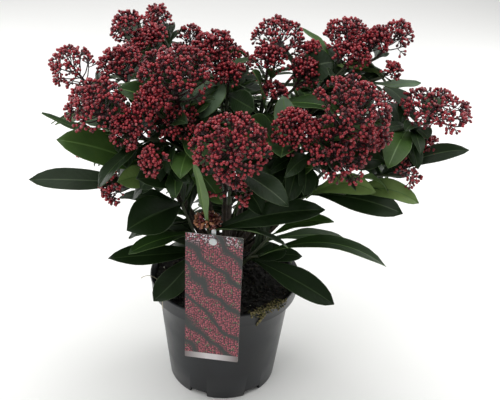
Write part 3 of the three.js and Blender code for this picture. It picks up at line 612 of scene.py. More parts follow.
plant = growPlant()
print("plant grown:", sum(len(mass["leaves"]) for mass in plant), "leaves")

# ---------- leaves ----------

# the whorls carry more leaves than the solids do, steeper, between them and under the same heads;
# each pass: turned on by, steeper by, steeper by low down, share of the width
infill = {"rows": 11, "deepRow": 5, "rowStep": 6,
          "passes": [(1.1, 24, 45, 0.9), (2.7, 8, 30, 0.8), (4.3, 36, 55, 0.7), (5.5, 16, 38, 0.6),
                     (0.4, 44, 60, 0.6), (3.4, 20, 40, 0.8), (6.0, 30, 50, 0.6)],
          "ownOverlap": 3, "margin": -0.6, "tries": 7, "droop": 30, "shade": 22, "lowShade": 60,
          "below": 8, "lowFront": -30, "front": -50, "frontUnderside": 312, "backFrom": 40,
          # most infill leaves take the dark tone, a painted shade for the shaded inside of the crown
          "shadeDarkShare": 0.93, "most": 640}


def infillLeaf(mass, shoot, row, step):
    phase, steeper, lowSteeper, share = step
    low = mass.get("onCrown", False)
    wider = {**shoot, "phase": shoot["phase"] + phase}
    shade = infill["lowShade"] if low else shoot["wide"] / 2 + infill["shade"]
    for attempt in range(infill["tries"]):
        leaf = whorlLeaf(wider, row, attempt, mass["draw"], lowSteeper if low else steeper)
        leaf["width"] *= share
        # nearly all infill leaves sit in the shade under the heads and take the dark tone: painted
        # shade
        leaf["tone"] = "dark" if mass["draw"]() < infill["shadeDarkShare"] else "mid"
        base, _, tip = leaf["midrib"]
        away = tip - shoot["at"]
        if tip[2] < base[2] - infill["droop"] or math.hypot(away[0], away[1]) > shade:
            continue
        inward = (math.hypot(tip[0], tip[1]) < math.hypot(shoot["at"][0], shoot["at"][1])
                  or min(tip[1], shoot["at"][1]) > infill["backFrom"])
        under = away[2] < -infill["below"] and inward and inCrown(mass, shoot, leaf)
        under = under and (tip[1] > infill["front"] or tip[2] > infill["frontUnderside"])
        inside = tip[1] > infill["lowFront"] if low else under
        if inside and keepLeaf(mass, leaf, infill["ownOverlap"], infill["margin"]):
            return 1
    return 0


def addInfill():
    added = 0
    for step in infill["passes"]:
        for index in range(infill["rows"]):
            row = index % infill["deepRow"] + index // infill["deepRow"] * infill["rowStep"]
            least = whorl["firstDrop"] + whorl["dropStep"] * row
            for mass, shoot in shootsOf(plant):
                if shoot["length"] >= least and added < infill["most"]:
                    added += infillLeaf(mass, shoot, row, step)


# a leathery blade, thin, with its own margin and midrib, the rib standing out underneath
blade = {"stations": 13, "stops": [-1, -0.96, -0.66, -0.36, -0.05, 0.05, 0.36, 0.66, 0.96, 1],
         "thickness": 0.5, "groove": 0.25, "rib": 1.0, "ribTaper": 1.1, "wave": 0.9, "waves": 2.3,
         "tipCurl": 20.0, "curlFrom": 0.6, "curlLeast": 0.4, "petioleHalf": 1.5, "tipHalf": 0.25,
         "foldInside": 1.2, "foldLoss": 0.35, "pieces": 2,
         "veinLean": -0.16, "veinBeat": 82.0, "veinDepth": 0.22,
         "tones": {"dark": 0, "mid": 1, "fresh": 2, "pale": 3, "sheenGrey": 9},
         "dealt": ["dark"] * 5 + ["mid"] * 4 + ["fresh"]}


# a flat sheet of one thickness: where each point lies on a blade, and what each face is part of
def bladeTemplate():
    stops = np.array(blade["stops"])
    bm = bmesh.new()
    bmesh.ops.create_grid(bm, x_segments=blade["stations"], y_segments=len(stops) - 1, size=1)
    bmesh.ops.solidify(bm, geom=bm.faces[:], thickness=0.1)
    bmesh.ops.recalc_face_normals(bm, faces=bm.faces)
    points, faces = templateOf(bm, triangles=False)
    along = (points[:, 0] + 1) / 2
    across = stops[np.round((points[:, 1] + 1) / 2 * (len(stops) - 1)).astype(int)]
    above = points[:, 2] > points[:, 2].mean()
    faceAcross = np.abs(across[faces].mean(1))
    faceAbove = above[faces].mean(1)
    kind = np.full(len(faces), "under", object)
    kind[faceAbove == 1] = "blade"
    kind[(faceAbove == 1) & (faceAcross > 0.95)] = "margin"
    kind[(faceAbove > 0) & (faceAbove < 1)] = "margin"
    kind[(faceAbove == 1) & (faceAcross < 0.03)] = "midrib"
    kind[(faceAbove == 0) & (faceAcross < 0.03)] = "rib"
    return along, across, above, faces, kind


def bladePoints(leaf, along, across, above, draw):
    leastHalf = np.where(along > 0.5, blade["tipHalf"], blade["petioleHalf"])
    half = np.maximum(leastHalf, leaf["width"] / 2 * bladeShare(along))
    middle = np.abs(across) < 0.1
    lift = np.where(above, blade["thickness"] / 2, -blade["thickness"] / 2)
    lift = lift - np.where(above & middle, blade["groove"], 0)
    lift = lift - np.where(~above & middle, blade["rib"] * (blade["ribTaper"] - along), 0)
    side = np.sign(across)
    phase = 6.3 * draw()
    lift = lift + blade["wave"] * across ** 2 * np.sin(6.28 * blade["waves"] * along + phase + side)
    curl = blade["tipCurl"] * (blade["curlLeast"] + draw())
    lift = lift - curl * np.clip(along - blade["curlFrom"], 0, 1) ** 2
    outward = np.abs(across)
    fold = blade["foldInside"] - blade["foldLoss"] * outward
    lift = lift + leafShape["fold"] * (outward * half) * fold
    tangent = tangentAt(leaf["midrib"], along)
    normal = np.cross(tangent, leaf["side"])
    return (pointAt(leaf["midrib"], along) + leaf["side"] * (across * half)[:, None]
            + normal * lift[:, None])


def leafUpper(name, low, high, sheen):
    # leathery evergreen leaf: a waxy skin gives a soft grey gloss over dark green
    material, tree, shader = newMaterial(name, {"Roughness": 0.45, "IOR": 1.28, "Coat Weight": sheen,
                                                "Coat Roughness": 0.3, "Coat IOR": 1.35})
    place = objectPlace(tree)
    colourBy(tree, shader, noiseOf(tree, place, 26), low, high)
    # side veins leave the midrib about every 7 mm, and lie hardly deeper than the skin
    blades = addNode(tree, "ShaderNodeUVMap", {"uv_map": "blade"}).outputs[0]
    parts = addNode(tree, "ShaderNodeSeparateXYZ", links={0: blades}).outputs
    lean = maths(tree, "MULTIPLY_ADD", maths(tree, "ABSOLUTE", parts[1]), blade["veinLean"], parts[0])
    veins = maths(tree, "SINE", maths(tree, "MULTIPLY", lean, blade["veinBeat"]))
    height = maths(tree, "MULTIPLY_ADD", veins, blade["veinDepth"], noiseOf(tree, place, 1.6))
    bumpOf(tree, shader, height, 0.16)
    return material


# veins, margins and undersides: matt, in a paler green
def plainLeaf(name, low, high, roughness):
    return mottled(name, 14, low, high, {"Roughness": roughness, "IOR": 1.42})[0]


leafLooks = [
    (leafUpper, "skimmiaLeafDark", "#13210d", "#1f3317", 0.03),
    (leafUpper, "skimmiaLeafMid", "#1f3316", "#304a22", 0.03),
    (leafUpper, "skimmiaLeafFresh", "#2e481e", "#45612b", 0.03),
    (leafUpper, "skimmiaLeafPale", "#56703a", "#7f9756", 0.05),
    (plainLeaf, "skimmiaLeafUnderside", "#4a6236", "#65804a", 0.55),
    (plainLeaf, "skimmiaLeafRib", "#6d8748", "#86a05c", 0.5),
    (plainLeaf, "skimmiaLeafMidrib", "#46642f", "#5f7f3e", 0.4),
    (plainLeaf, "skimmiaLeafMargin", "#42592f", "#6b8748", 0.45),
    (plainLeaf, "skimmiaLeafDullVein", "#26371d", "#3b5029", 0.45),
    # grey-green leaves: dark leaf green with the sheen of the white surroundings painted in
    (leafUpper, "skimmiaLeafPaintedSheen", "#4b6048", "#6e8468", 0.12),
]


def makeLeaves():
    along, across, above, faces, kind = bladeTemplate()
    columns = [[], [], [], []]
    slotOf = {"under": 4, "rib": 5, "midrib": 6, "margin": 7}
    dullSlotOf = {"under": 4, "rib": 5, "midrib": 8, "margin": 8}
    count = 0
    for mass in plant:
        draw = seeded(len(mass["name"]) * 31 + 7)
        for leaf in mass["leaves"]:
            tone = leaf["tone"] or blade["dealt"][int(draw() * len(blade["dealt"]))]
            slots = dullSlotOf if tone == "dark" else slotOf
            made = (bladePoints(leaf, along, across, above, draw), faces + count * len(along),
                    [slots.get(k, blade["tones"][tone]) for k in kind], np.stack([along, across], 1))
            for column, value in zip(columns, made):
                column.append(value)
            count += 1
    looks = [look(name, low, high, shine) for look, name, low, high, shine in leafLooks]
    for piece in range(blade["pieces"]):
        first, last = (count * k // blade["pieces"] for k in (piece, piece + 1))
        points, rows, slots, places = (np.concatenate(column[first:last]) for column in columns)
        rows = rows - first * len(along)
        leaves = fromArrays(f"leaves_{piece + 1}", points, rows, slots)
        layer = leaves.data.uv_layers.new(name="blade")
        layer.data.foreach_set("uv", places[rows.ravel()].astype(np.float32).ravel())
        nodes = [f"foliage_{name}" for name in masses] if piece == 0 else []
        finished(leaves, looks, *nodes, slot="foliage")
        print("leaves in piece", piece + 1, "triangles", len(rows) * 2)
    print("leaves:", count)


addInfill()
makeLeaves()


# ---------- twigs: shoots and their heads' stalks ----------

# many thin straight stalks at once, open at both ends
def sticks(starts, ends, startRadii, endRadii, sides):
    way = ends - starts
    way = way / np.linalg.norm(way, axis=1, keepdims=True)
    across, other = squareTo(way)
    angle = np.arange(sides) * 2 * math.pi / sides
    ring = (np.cos(angle)[None, :, None] * across[:, None]
            + np.sin(angle)[None, :, None] * other[:, None])
    points = np.concatenate([starts[:, None] + ring * startRadii[:, None, None],
                             ends[:, None] + ring * endRadii[:, None, None]], axis=1)
    k = np.arange(sides)
    walls = np.stack([k, (k + 1) % sides, (k + 1) % sides + sides, k + sides], 1)
    return points.reshape(-1, 3), copiesOf(walls, 2 * sides, len(starts))


# one limb: a grid rolled up round its curve, with a relief pushed along its own radius
def limbMesh(bm, curve, radiusAt, rings, sides, relief):
    grid = bmesh.ops.create_grid(bm, x_segments=rings, y_segments=sides, size=1)["verts"]
    across = acrossOf(curve)
    for vert in grid:
        t = (vert.co.x + 1) / 2
        turn = (vert.co.y + 1) * math.pi
        centre = pointAt(curve, t)
        other = np.cross(tangentAt(curve, t), across)
        way = across * math.cos(turn) + other * math.sin(turn)
        radius = radiusAt(t)
        spot = Vector(centre + way * radius)
        radius += relief * noise.noise(spot * 0.22) + relief * 0.5 * noise.noise(spot * 0.7)
        vert.co = Vector((centre + way * radius) * mm)


twig = {"neckOverlap": 2, "baseRadius": 2.1, "tipRadius": 1.7, "ringEvery": 8, "sides": 8,
        "neckRelief": 0.15, "lowRelief": 0.3, "relief": 0.2}


def makeTwigs():
    bm = bmesh.new()
    for mass in plant:
        fork = mass["bough"][2]
        heading = mass["heading"]
        overlap = twig["neckOverlap"]
        neckEnd = fork + heading * (shootStem["neck"] + overlap)
        neck = np.array([fork - heading * overlap, fork + heading * 4, neckEnd])
        limbMesh(bm, neck, lambda t: limb["tipRadius"], 3, twig["sides"], twig["neckRelief"])
        if mass.get("onCrown"):
            limbMesh(bm, mass["bough"], lambda t: limb["tipRadius"], 14, twig["sides"],
                     twig["lowRelief"])
        for shoot in mass["shoots"]:
            rings = max(6, int(shoot["length"] / twig["ringEvery"]))
            limbMesh(bm, shoot["stem"], lambda t: lerp(twig["baseRadius"], twig["tipRadius"], t),
                     rings, twig["sides"], twig["relief"])
    closeUp(bm, 0.00002)
    # young wood: green-brown, smooth, with a dull skin
    material, tree, shader = mottled("skimmiaYoungWood", 9, "#26281a", "#465233", {"Roughness": 0.55})
    bumpOf(tree, shader, noiseOf(tree, objectPlace(tree), 1.2), 0.3)
    finished(fromBmesh("twigs", bm), material, slot="foliage")
    print("twigs made")


makeTwigs()


# ---------- heads of flower buds ----------

# each cluster ends in a knot with a few arms, and each arm in buds on short stalks
bud = {"radius": 1.86, "spread": 0.14, "length": 1.2, "sides": 6, "rings": 5, "pieces": 4,
       "pear": (0.8, 0.45, 0.42), "calyxTop": -0.2, "clusterShare": 2.5, "innerShare": 0.66,
       "innerReach": 0.55, "sparse": 0.68, "knotDepth": 5.4, "sag": 1.5, "arms": 4,
       "armLength": 3.9, "armLeast": 0.85, "armSpread": 0.3, "perArm": 4, "missing": 0.3,
       "stalkLeast": 2.7, "stalkMost": 3.9, "seat": 0.4,
       "oldEnds": (0.4, 0.8), "toneEnds": (0.4, 0.7, 0.97)}

# how far the ways of a fan lean, in degrees, then the share of that for the first and the least
# share for the others
fans = {"arms": (50, 0.3, 0.8), "buds": (42, 0.25, 0.85)}

# radii at the start and the end of each kind of stalk; a bud's own stalk thickens into it
stalk = {"foot": 3, "main": (1.87, 1.2), "branch": (0.95, 0.8), "bent": (0.8, 0.65),
         "arm": (0.62, 0.52), "own": (0.45, 0.72)}

# clusters to a spray in the heads that are opener than the rest, with light between their branches
openHeads = {"left": {0: 2.0, 2: 1.6}, "left_front": {1: 2.0}, "top_left": {0: 2.0, 1: 2.0, 2: 2.0},
             "top_centre": {0: 2.8, 2: 1.8}, "top_right": {1: 2.0, 2: 1.8}, "right": {0: 2.8, 1: 2.4},
             "right_low": {0: 2.0}, "front": {1: 1.5}, "front_left": {1: 1.7, 3: 1.9},
             "left_back": {0: 1.6}, "right_back": {0: 1.6}, "back": {1: 1.6}, "back_left": {1: 1.6},
             "back_right": {1: 1.6}}


# a pear shape standing on its foot, with the faces of the calyx at its foot
def budTemplate():
    bm = bmesh.new()
    bmesh.ops.create_uvsphere(bm, u_segments=bud["sides"], v_segments=bud["rings"], radius=1)
    points, faces = templateOf(bm)
    height = points[:, 2]
    middle, rise, least = bud["pear"]
    pear = np.clip(middle + rise * height, least, 1.0)
    shaped = np.stack([points[:, 0] * pear, points[:, 1] * pear, (height + 1) * bud["length"]], 1)
    calyx = height[faces].max(1) < bud["calyxTop"]
    return shaped, faces, calyx


def headClusters(shoot, openness, draw):
    count = round(shoot["sprays"] * (openness or bud["clusterShare"]))
    inner = 0 if openness else round(shoot["sprays"] * bud["innerShare"])
    for i in range(count + inner):
        deep = i >= count
        share = (i - count + 0.5) / inner if deep else (i + 0.5) / count
        reach = lerp(head["leastReach"], 1, draw()) * (bud["innerReach"] if deep else 1)
        yield *sprayLine(shoot, share, shoot["phase"] + i * goldenTurn, reach), share


# one way of a fan: the first leads nearly straight on, and the others spread round it
def fanWay(way, index, count, fan, draw):
    tilt, lead, least = fan
    tilt = math.radians(tilt * (lead if index == 0 else least + 0.4 * draw()))
    turn = index * math.tau / (count - 1) + 1.5 * draw()
    across = unit(np.cross(np.array([1.0, 0, 0]) if abs(way[2]) > 0.9 else up, way))
    other = np.cross(way, across)
    return way * math.cos(tilt) + (across * math.cos(turn) + other * math.sin(turn)) * math.sin(tilt)


# waxy bud scales: crimson where the light falls, a few paler or still pinkish
budLooks = [("budCrimson", "#7b1822", "#a12732", 0.4), ("budRed", "#8e202b", "#b4363f", 0.38),
            ("budDeepRed", "#50131b", "#711d27", 0.42), ("budPinkTipped", "#a5474d", "#c1686a", 0.42),
            ("budFadedOrange", "#8f5536", "#b9805a", 0.6), ("budFadedBrown", "#4f241d", "#7a3f2e", 0.6),
            ("budCalyx", "#2f1115", "#471c23", 0.5)]


def budSkin(name, low, high, roughness):
    return mottled(name, 3, low, high, {"Roughness": roughness, "IOR": 1.45, "Coat Weight": 0.3,
                                        "Coat Roughness": 0.25})[0]


def makeHeads():
    shaped, faces, calyx = budTemplate()
    stalkRows, budRows = [], []
    for mass in plant:
        draw = seeded(len(mass["name"]) * 17 + 3)
        old = mass["name"] == "front_low"
        for index, shoot in enumerate(mass["shoots"]):
            if shoot["sprays"] == 0:
                continue
            openness = openHeads.get(mass["name"], {}).get(index)
            top = shoot["collar"] + shoot["axis"] * shoot["tall"] * head["stalkShare"]
            stalkRows.append((pointBelow(shoot, stalk["foot"]), top, *stalk["main"]))
            for start, end, down in headClusters(shoot, openness, draw):
                outward = unit(end - start)
                knot = end - outward * bud["knotDepth"]
                bend = lerp(start, knot, 0.5) - shoot["axis"] * bud["sag"]
                stalkRows += [(start, bend, *stalk["branch"]), (bend, knot, *stalk["bent"])]
                arms = bud["arms"] - (down > bud["sparse"])
                for arm in range(arms):
                    way = fanWay(outward, arm, arms, fans["arms"], draw)
                    share = bud["armLeast"] + bud["armSpread"] * draw()
                    elbow = knot + way * bud["armLength"] * share
                    stalkRows.append((knot, elbow, *stalk["arm"]))
                    perArm = bud["perArm"] - (down > bud["sparse"]) - (draw() < bud["missing"])
                    for k in range(perArm):
                        tip = fanWay(way, k, perArm, fans["buds"], draw)
                        size = bud["radius"] * (1 + bud["spread"] * (2 * draw() - 1))
                        foot = elbow + tip * lerp(bud["stalkLeast"], bud["stalkMost"], draw())
                        stalkRows.append((elbow, foot + tip * size * bud["seat"], *stalk["own"]))
                        budRows.append((foot, tip, size, old, draw()))
    print("heads:", len(budRows), "buds")

    feet, ways, sizes, olds, tones = (np.array(column) for column in zip(*budRows))
    turns = np.stack([*squareTo(ways), ways], 1)
    shares = [olds & (tones < end) for end in bud["oldEnds"]]
    shares += [tones < end for end in bud["toneEnds"]]
    slot = np.select(shares, [4, 5, 0, 1, 2], 3)
    materials = [budSkin(*look) for look in budLooks]
    for piece in range(bud["pieces"]):
        mine = np.arange(piece, len(feet), bud["pieces"])
        points = np.einsum("ki,nij->nkj", shaped, turns[mine]) * sizes[mine, None, None]
        points = (points + feet[mine, None]).reshape(-1, 3)
        slots = np.where(calyx[None], 6, slot[mine, None]).ravel()
        made = fromArrays(f"flower_buds_{piece + 1}", points,
                          copiesOf(faces, len(shaped), len(mine)), slots)
        finished(made, materials, slot="foliage")
        print("buds in piece", piece + 1, "triangles", len(mine) * len(faces))

    points, rows = sticks(*(np.array(column) for column in zip(*stalkRows)), 3)
    # dark purple-brown flower stalks, slightly glossy when young
    material = mottled("skimmiaFlowerStalk", 7, "#1c0c0f", "#3d171b", {"Roughness": 0.5})[0]
    finished(fromArrays("flower_stalks", points, rows), material, slot="foliage")


makeHeads()


# ---------- woody crown and boughs, with their bark ----------

bark = {"trunkRings": 36, "trunkSides": 40, "trunkRelief": 1.7, "ringEvery": 3, "sides": 12,
        "relief": 0.55}


def makeBark():
    bm = bmesh.new()
    bottom, top = groundHeight, crownTop
    ground, waist, high = (woodyCrown[k] for k in ("groundRadius", "waistRadius", "topRadius"))
    heights = [bottom, bottom + 2, bottom + 8, bottom + 16, top - 10, top - 3, top]
    radii = [ground, ground, waist + 3.5, waist, high, high * 0.75, 0.4]
    axis = np.array([[0, 0, bottom], [0, 0, (bottom + top) / 2], [0, 0, top]], float)
    limbMesh(bm, axis, lambda t: np.interp(lerp(bottom, top, t), heights, radii),
             bark["trunkRings"], bark["trunkSides"], bark["trunkRelief"])
    for mass in plant:
        if not mass.get("onCrown"):
            rings = int(lengthOf(mass["bough"]) / bark["ringEvery"])
            limbMesh(bm, mass["bough"], lambda t: lerp(limb["baseRadius"], limb["tipRadius"], t),
                     rings, bark["sides"], bark["relief"])
    closeUp(bm, 0.00002)
    # old bark: grey-brown, finely cracked along the stem
    material, tree, shader = newMaterial("skimmiaBark", {"Roughness": 0.85})
    place = objectPlace(tree, Scale=(1, 1, 0.35))
    cracks = noiseOf(tree, place, 2.2, 6)
    colourBy(tree, shader, ramp(tree, cracks, 0.35, 0.7), "#18130e", "#43382b")
    bumpOf(tree, shader, cracks, 0.8)
    boughs = [f"bough_{name}" for name, row in masses.items() if not row.get("onCrown")]
    finished(fromBmesh("bark_limbs", bm), material, "woody_crown", *boughs, slot="wood")
    print("bark made")


makeBark()


# ---------- pot ----------

potLook = {"steps": 120, "lip": 1.1, "floor": 3, "notchRound": 2.6}


# a profile of radii and heights, spun round the upright axis
def spun(bm, profile, steps):
    verts = [bm.verts.new((radius * mm, 0, height * mm)) for radius, height in profile]
    edges = [bm.edges.new(pair) for pair in zip(verts, verts[1:])]
    bmesh.ops.spin(bm, geom=verts + edges, cent=(0, 0, 0), axis=(0, 0, 1), angle=math.tau,
                   steps=steps, use_merge=True, use_duplicate=False)
    closeUp(bm, 0.00001)


# cuts the shape of a bmesh out of an object
def cutAway(obj, bm):
    cutter = fromBmesh(obj.name + "_cutter", bm, smooth=False)
    cut = obj.modifiers.new("cut", "BOOLEAN")
    cut.operation = "DIFFERENCE"
    cut.solver = "EXACT"
    cut.object = cutter
    bpy.context.view_layer.update()
    mesh = bpy.data.meshes.new_from_object(obj.evaluated_get(bpy.context.evaluated_depsgraph_get()))
    obj.modifiers.clear()
    obj.data = mesh
    bpy.data.objects.remove(cutter)


def makePot():
    foot, rim, wall, top = (pot[k] for k in ("footRadius", "rimRadius", "wall", "height"))
    lip = potLook["lip"]
    bandFoot = top - pot["bandHeight"]
    inside = potLook["floor"] + pot["notchHeight"]

    def body(height):
        return lerp(foot, pot["bodyTopRadius"], height / bandFoot)

    bm = bmesh.new()
    spun(bm, [
        (0, 0), (foot - 2 * lip, 0), (foot - 0.6 * lip, 0.3 * lip), (foot, lip),
        (body(40), 40), (body(90), 90), (body(bandFoot - 3), bandFoot - 3),
        (body(bandFoot) + 0.6, bandFoot - 1), (rim - 4, bandFoot + 0.2), (rim - 2.4, bandFoot + 1),
        (rim - 2, bandFoot + 2.4), (rim - 0.9, top - 3.2), (rim - 0.2, top - 2.4), (rim, top - 1.2),
        (rim - 0.3, top - 0.4), (rim - 1, top), (rim - wall + 0.4, top), (rim - wall, top - 0.8),
        (body(bandFoot) - wall, bandFoot), (body(inside) - wall, inside), (0, inside)],
        potLook["steps"])
    shell = fromBmesh("pot_shell", bm)
    bm = bmesh.new()
    for i in range(pot["notches"]):
        turn = math.radians(pot["notchTurn"] + i * 360 / pot["notches"])
        made = addBox(bm, pot["notchWidth"], pot["notchDepth"] * 2, pot["notchHeight"] * 2)
        moveBy(bm, made, 0, -foot, 0)
        turnBy(bm, made, turn, "Z")
    upright = [e for e in bm.edges if abs(e.verts[0].co.z + e.verts[1].co.z) > 1e-4
               and e.verts[0].co.z > 0 and e.verts[1].co.z > 0]
    roundOff(bm, upright, potLook["notchRound"], 3)
    cutAway(shell, bm)
    shell.data.shade_smooth()
    crease(shell)
    # injection-moulded polypropylene, carbon grey: satin, faintly pebbled, dusty where it was handled
    material, tree, shader = newMaterial("mouldedPolypropylene", {"IOR": 1.46})
    place = objectPlace(tree)
    dust = ramp(tree, noiseOf(tree, place, 38, 5), 0.42, 0.72)
    colourBy(tree, shader, dust, "#090c11", "#12161c")
    rough = addNode(tree, "ShaderNodeMapRange", {"To Min": 0.3, "To Max": 0.42}, {"Value": dust})
    tree.links.new(rough.outputs[0], shader.inputs["Roughness"])
    bumpOf(tree, shader, noiseOf(tree, place, 1.1), 0.05)
    finished(shell, material, "pot", slot="pot_plastic")
    print("pot made")


makePot()


# ---------- soil, crumbs and moss ----------

soilLook = {"edge": 144, "domeRadii": (26, 56, 86), "rings": 26, "steps": 96, "relief": 2.2,
            "flatSides": 24, "seed": 40, "crumbs": 1900, "squash": 0.7,
            "crumbLeast": 0.9, "crumbMost": 3.0, "barkShare": 0.14, "perliteShare": 0.015,
            "moss": 160, "mossFrom": -70, "mossTo": -36, "spilt": 170, "onRimShare": 0.45,
            "strand": 80, "strandTurn": -62.5, "strandDrop": 23,
            "threads": [[(-66, -57, 146), (-76, -65.5, 166.5), (-74, -64, 137)],
                        [(-84, -18, 146), (-93.5, -20.5, 160.5), (-105, -21, 151)]],
            "threadRadius": 0.55}


# small rough lumps, each turned and stretched at random
def scattered(name, places, sizes, slots, looks, draw):
    bm = bmesh.new()
    bmesh.ops.create_icosphere(bm, subdivisions=1, radius=1)
    shape, faces = templateOf(bm)
    points = []
    for place, size in zip(places, sizes):
        turn = np.array(Matrix.Rotation(6.28 * draw(), 3, (draw() - 0.5, draw() - 0.5, draw() + 0.1)))
        stretch = np.array([0.7 + 0.6 * draw() for axis in range(3)]) * (1, 1, soilLook["squash"])
        points.append((shape * stretch) @ turn * size + place)
    made = fromArrays(name, np.concatenate(points), copiesOf(faces, len(shape), len(places)),
                      np.repeat(slots, len(faces)), smooth=False)
    finished(made, looks, slot="soil")


def soilHeight(x, y):
    edge = soilLook["edge"]
    heights = [soilTop, (soilTop + edge) / 2 + 0.5, edge]
    dome = np.interp(math.hypot(x, y), soilLook["domeRadii"], heights)
    lumps = noise.noise(Vector((x, y, 3)) * 0.06) + 0.6 * noise.noise(Vector((x, y, 7)) * 0.17)
    return dome + soilLook["relief"] * lumps


def around(radius, turn):
    return radius * math.cos(turn), radius * math.sin(turn)


def makeSoil():
    # the pot's solid has flat sides, and the soil keeps inside them
    flats = math.cos(math.pi / soilLook["flatSides"])
    bandFoot = pot["height"] - pot["bandHeight"]
    edge, rings = soilLook["edge"], soilLook["rings"]
    edgeShare = (edge - bandFoot) / pot["bandHeight"]
    edgeRadius = lerp(pot["bodyTopRadius"], pot["rimRadius"], edgeShare) - pot["wall"]
    edgeRadius = edgeRadius * flats - gap
    bottom = potLook["floor"] + pot["notchHeight"] + gap
    lowRadius = (pot["footRadius"] + 1 - pot["wall"]) * flats
    bandRadius = (pot["bodyTopRadius"] - pot["wall"]) * flats - gap
    bm = bmesh.new()
    spun(bm, [(0, bottom), (lowRadius, bottom), (bandRadius, bandFoot)]
         + [(edgeRadius * (1 - i / rings), edge) for i in range(rings + 1)], soilLook["steps"])
    for vert in bm.verts:
        if vert.co.z > (edge - 1) * mm:
            vert.co.z = soilHeight(vert.co.x / mm, vert.co.y / mm) * mm
    # moist peat: nearly black, with brown fibre
    material, tree, shader = newMaterial("peatSoil", {"Roughness": 0.95})
    fibre = noiseOf(tree, objectPlace(tree), 3, 8)
    colourBy(tree, shader, ramp(tree, fibre, 0.4, 0.8), "#080605", "#15110c")
    bumpOf(tree, shader, fibre, 1.5)
    finished(fromBmesh("soil_body", bm), material, "soil", slot="soil")
    scatterCrumbs(edgeRadius, bandFoot)

    # a white root thread and a peat fibre hang over the rim at the left
    bm = bmesh.new()
    for way in soilLook["threads"]:
        limbMesh(bm, np.array(way, float), lambda t: soilLook["threadRadius"], 8, 6, 0.2)
    thread = mottled("rootThread", 3, "#a89a80", "#d8d0c0", {"Roughness": 0.7})[0]
    finished(fromBmesh("root_threads", bm), thread, slot="soil")
    print("soil made")


# dry crumbs of peat, bark and perlite on the soil, and straw-coloured moss
crumbLooks = [("peatCrumb", "#0b0907", "#15100b"), ("barkCrumb", "#20180f", "#33271a"),
              ("mossGreen", "#36371a", "#5a592e"), ("mossStraw", "#665b3b", "#94885f"),
              ("perliteCrumb", "#8f8b82", "#c6c2ba")]


def scatterCrumbs(edgeRadius, bandFoot):
    draw = seeded(soilLook["seed"])
    places, sizes, slots = [], [], []
    for i in range(soilLook["crumbs"]):
        turn, radius = 6.283 * draw(), (edgeRadius - 0.5) * math.sqrt(draw())
        size = lerp(soilLook["crumbLeast"], soilLook["crumbMost"], draw() ** 2)
        x, y = around(radius, turn)
        places.append((x, y, soilHeight(x, y) + 0.3 * size))
        sizes.append(size)
        pick = draw()
        isPerlite = pick > 1 - soilLook["perliteShare"] and size < 2
        slots.append(1 if pick < soilLook["barkShare"] else 4 if isPerlite else 0)

    def mossTurn(power=1):
        return math.radians(lerp(soilLook["mossFrom"], soilLook["mossTo"], draw() ** power))

    def addMoss(x, y, z):
        places.append((x, y, z))
        sizes.append(0.5 + 0.9 * draw())
        slots.append(2 if draw() < 0.5 else 3)

    def addOnBand(turn, drop, proud):
        height = pot["height"] - drop
        share = max(0, (height - bandFoot) / pot["bandHeight"])
        radius = pot["rimRadius"] - 2 * (1 - share) if height > bandFoot else pot["bodyTopRadius"]
        addMoss(*around(radius + proud, turn), height)

    # moss and straw along the rim at the right, some of it spilt down the outside in a strand
    for i in range(soilLook["moss"]):
        turn = mossTurn()
        radius = edgeRadius + 1 - 9 * draw() ** 1.4
        x, y = around(radius, turn)
        addMoss(x, y, soilHeight(x, y) + 1 + 3.5 * draw() * (radius > edgeRadius - 3))
    for i in range(soilLook["spilt"]):
        turn = mossTurn(1.5)
        if draw() < soilLook["onRimShare"]:
            addMoss(*around(pot["rimRadius"] - 2.4 * draw(), turn), pot["height"] + 0.4)
        else:
            addOnBand(turn, 0.6 + 9 * draw() ** 2, 0.3)
    for i in range(soilLook["strand"]):
        along = draw()
        sway = 2.6 * math.sin(5 * along) + 2.2 * (draw() - 0.5) * (1.4 - along)
        addOnBand(math.radians(soilLook["strandTurn"] + sway), soilLook["strandDrop"] * along, 0.4)
    looks = [mottled(name, 4, low, high, {"Roughness": 0.9})[0] for name, low, high in crumbLooks]
    scattered("soil_crumbs", places, sizes, slots, looks, draw)


makeSoil()


# ---------- label and its pin ----------

labelLook = {"corner": 1.5, "strip": 8.5, "diamond": 2.3, "waves": 17, "edge": "#b9b4ae",
             "highlightFrom": 18, "highlightTo": 4}
pinLook = {"domeRound": 0.9, "neckLength": 7, "neckBack": 2.6, "footShare": 0.25, "stakeRound": 0.48}


# how far along, through and up the label a point is
def labelPlace(tree):
    level = objectPlace(tree, Rotation=(0, 0, math.radians(label["turn"])))
    return addNode(tree, "ShaderNodeSeparateXYZ", links={0: level}).outputs
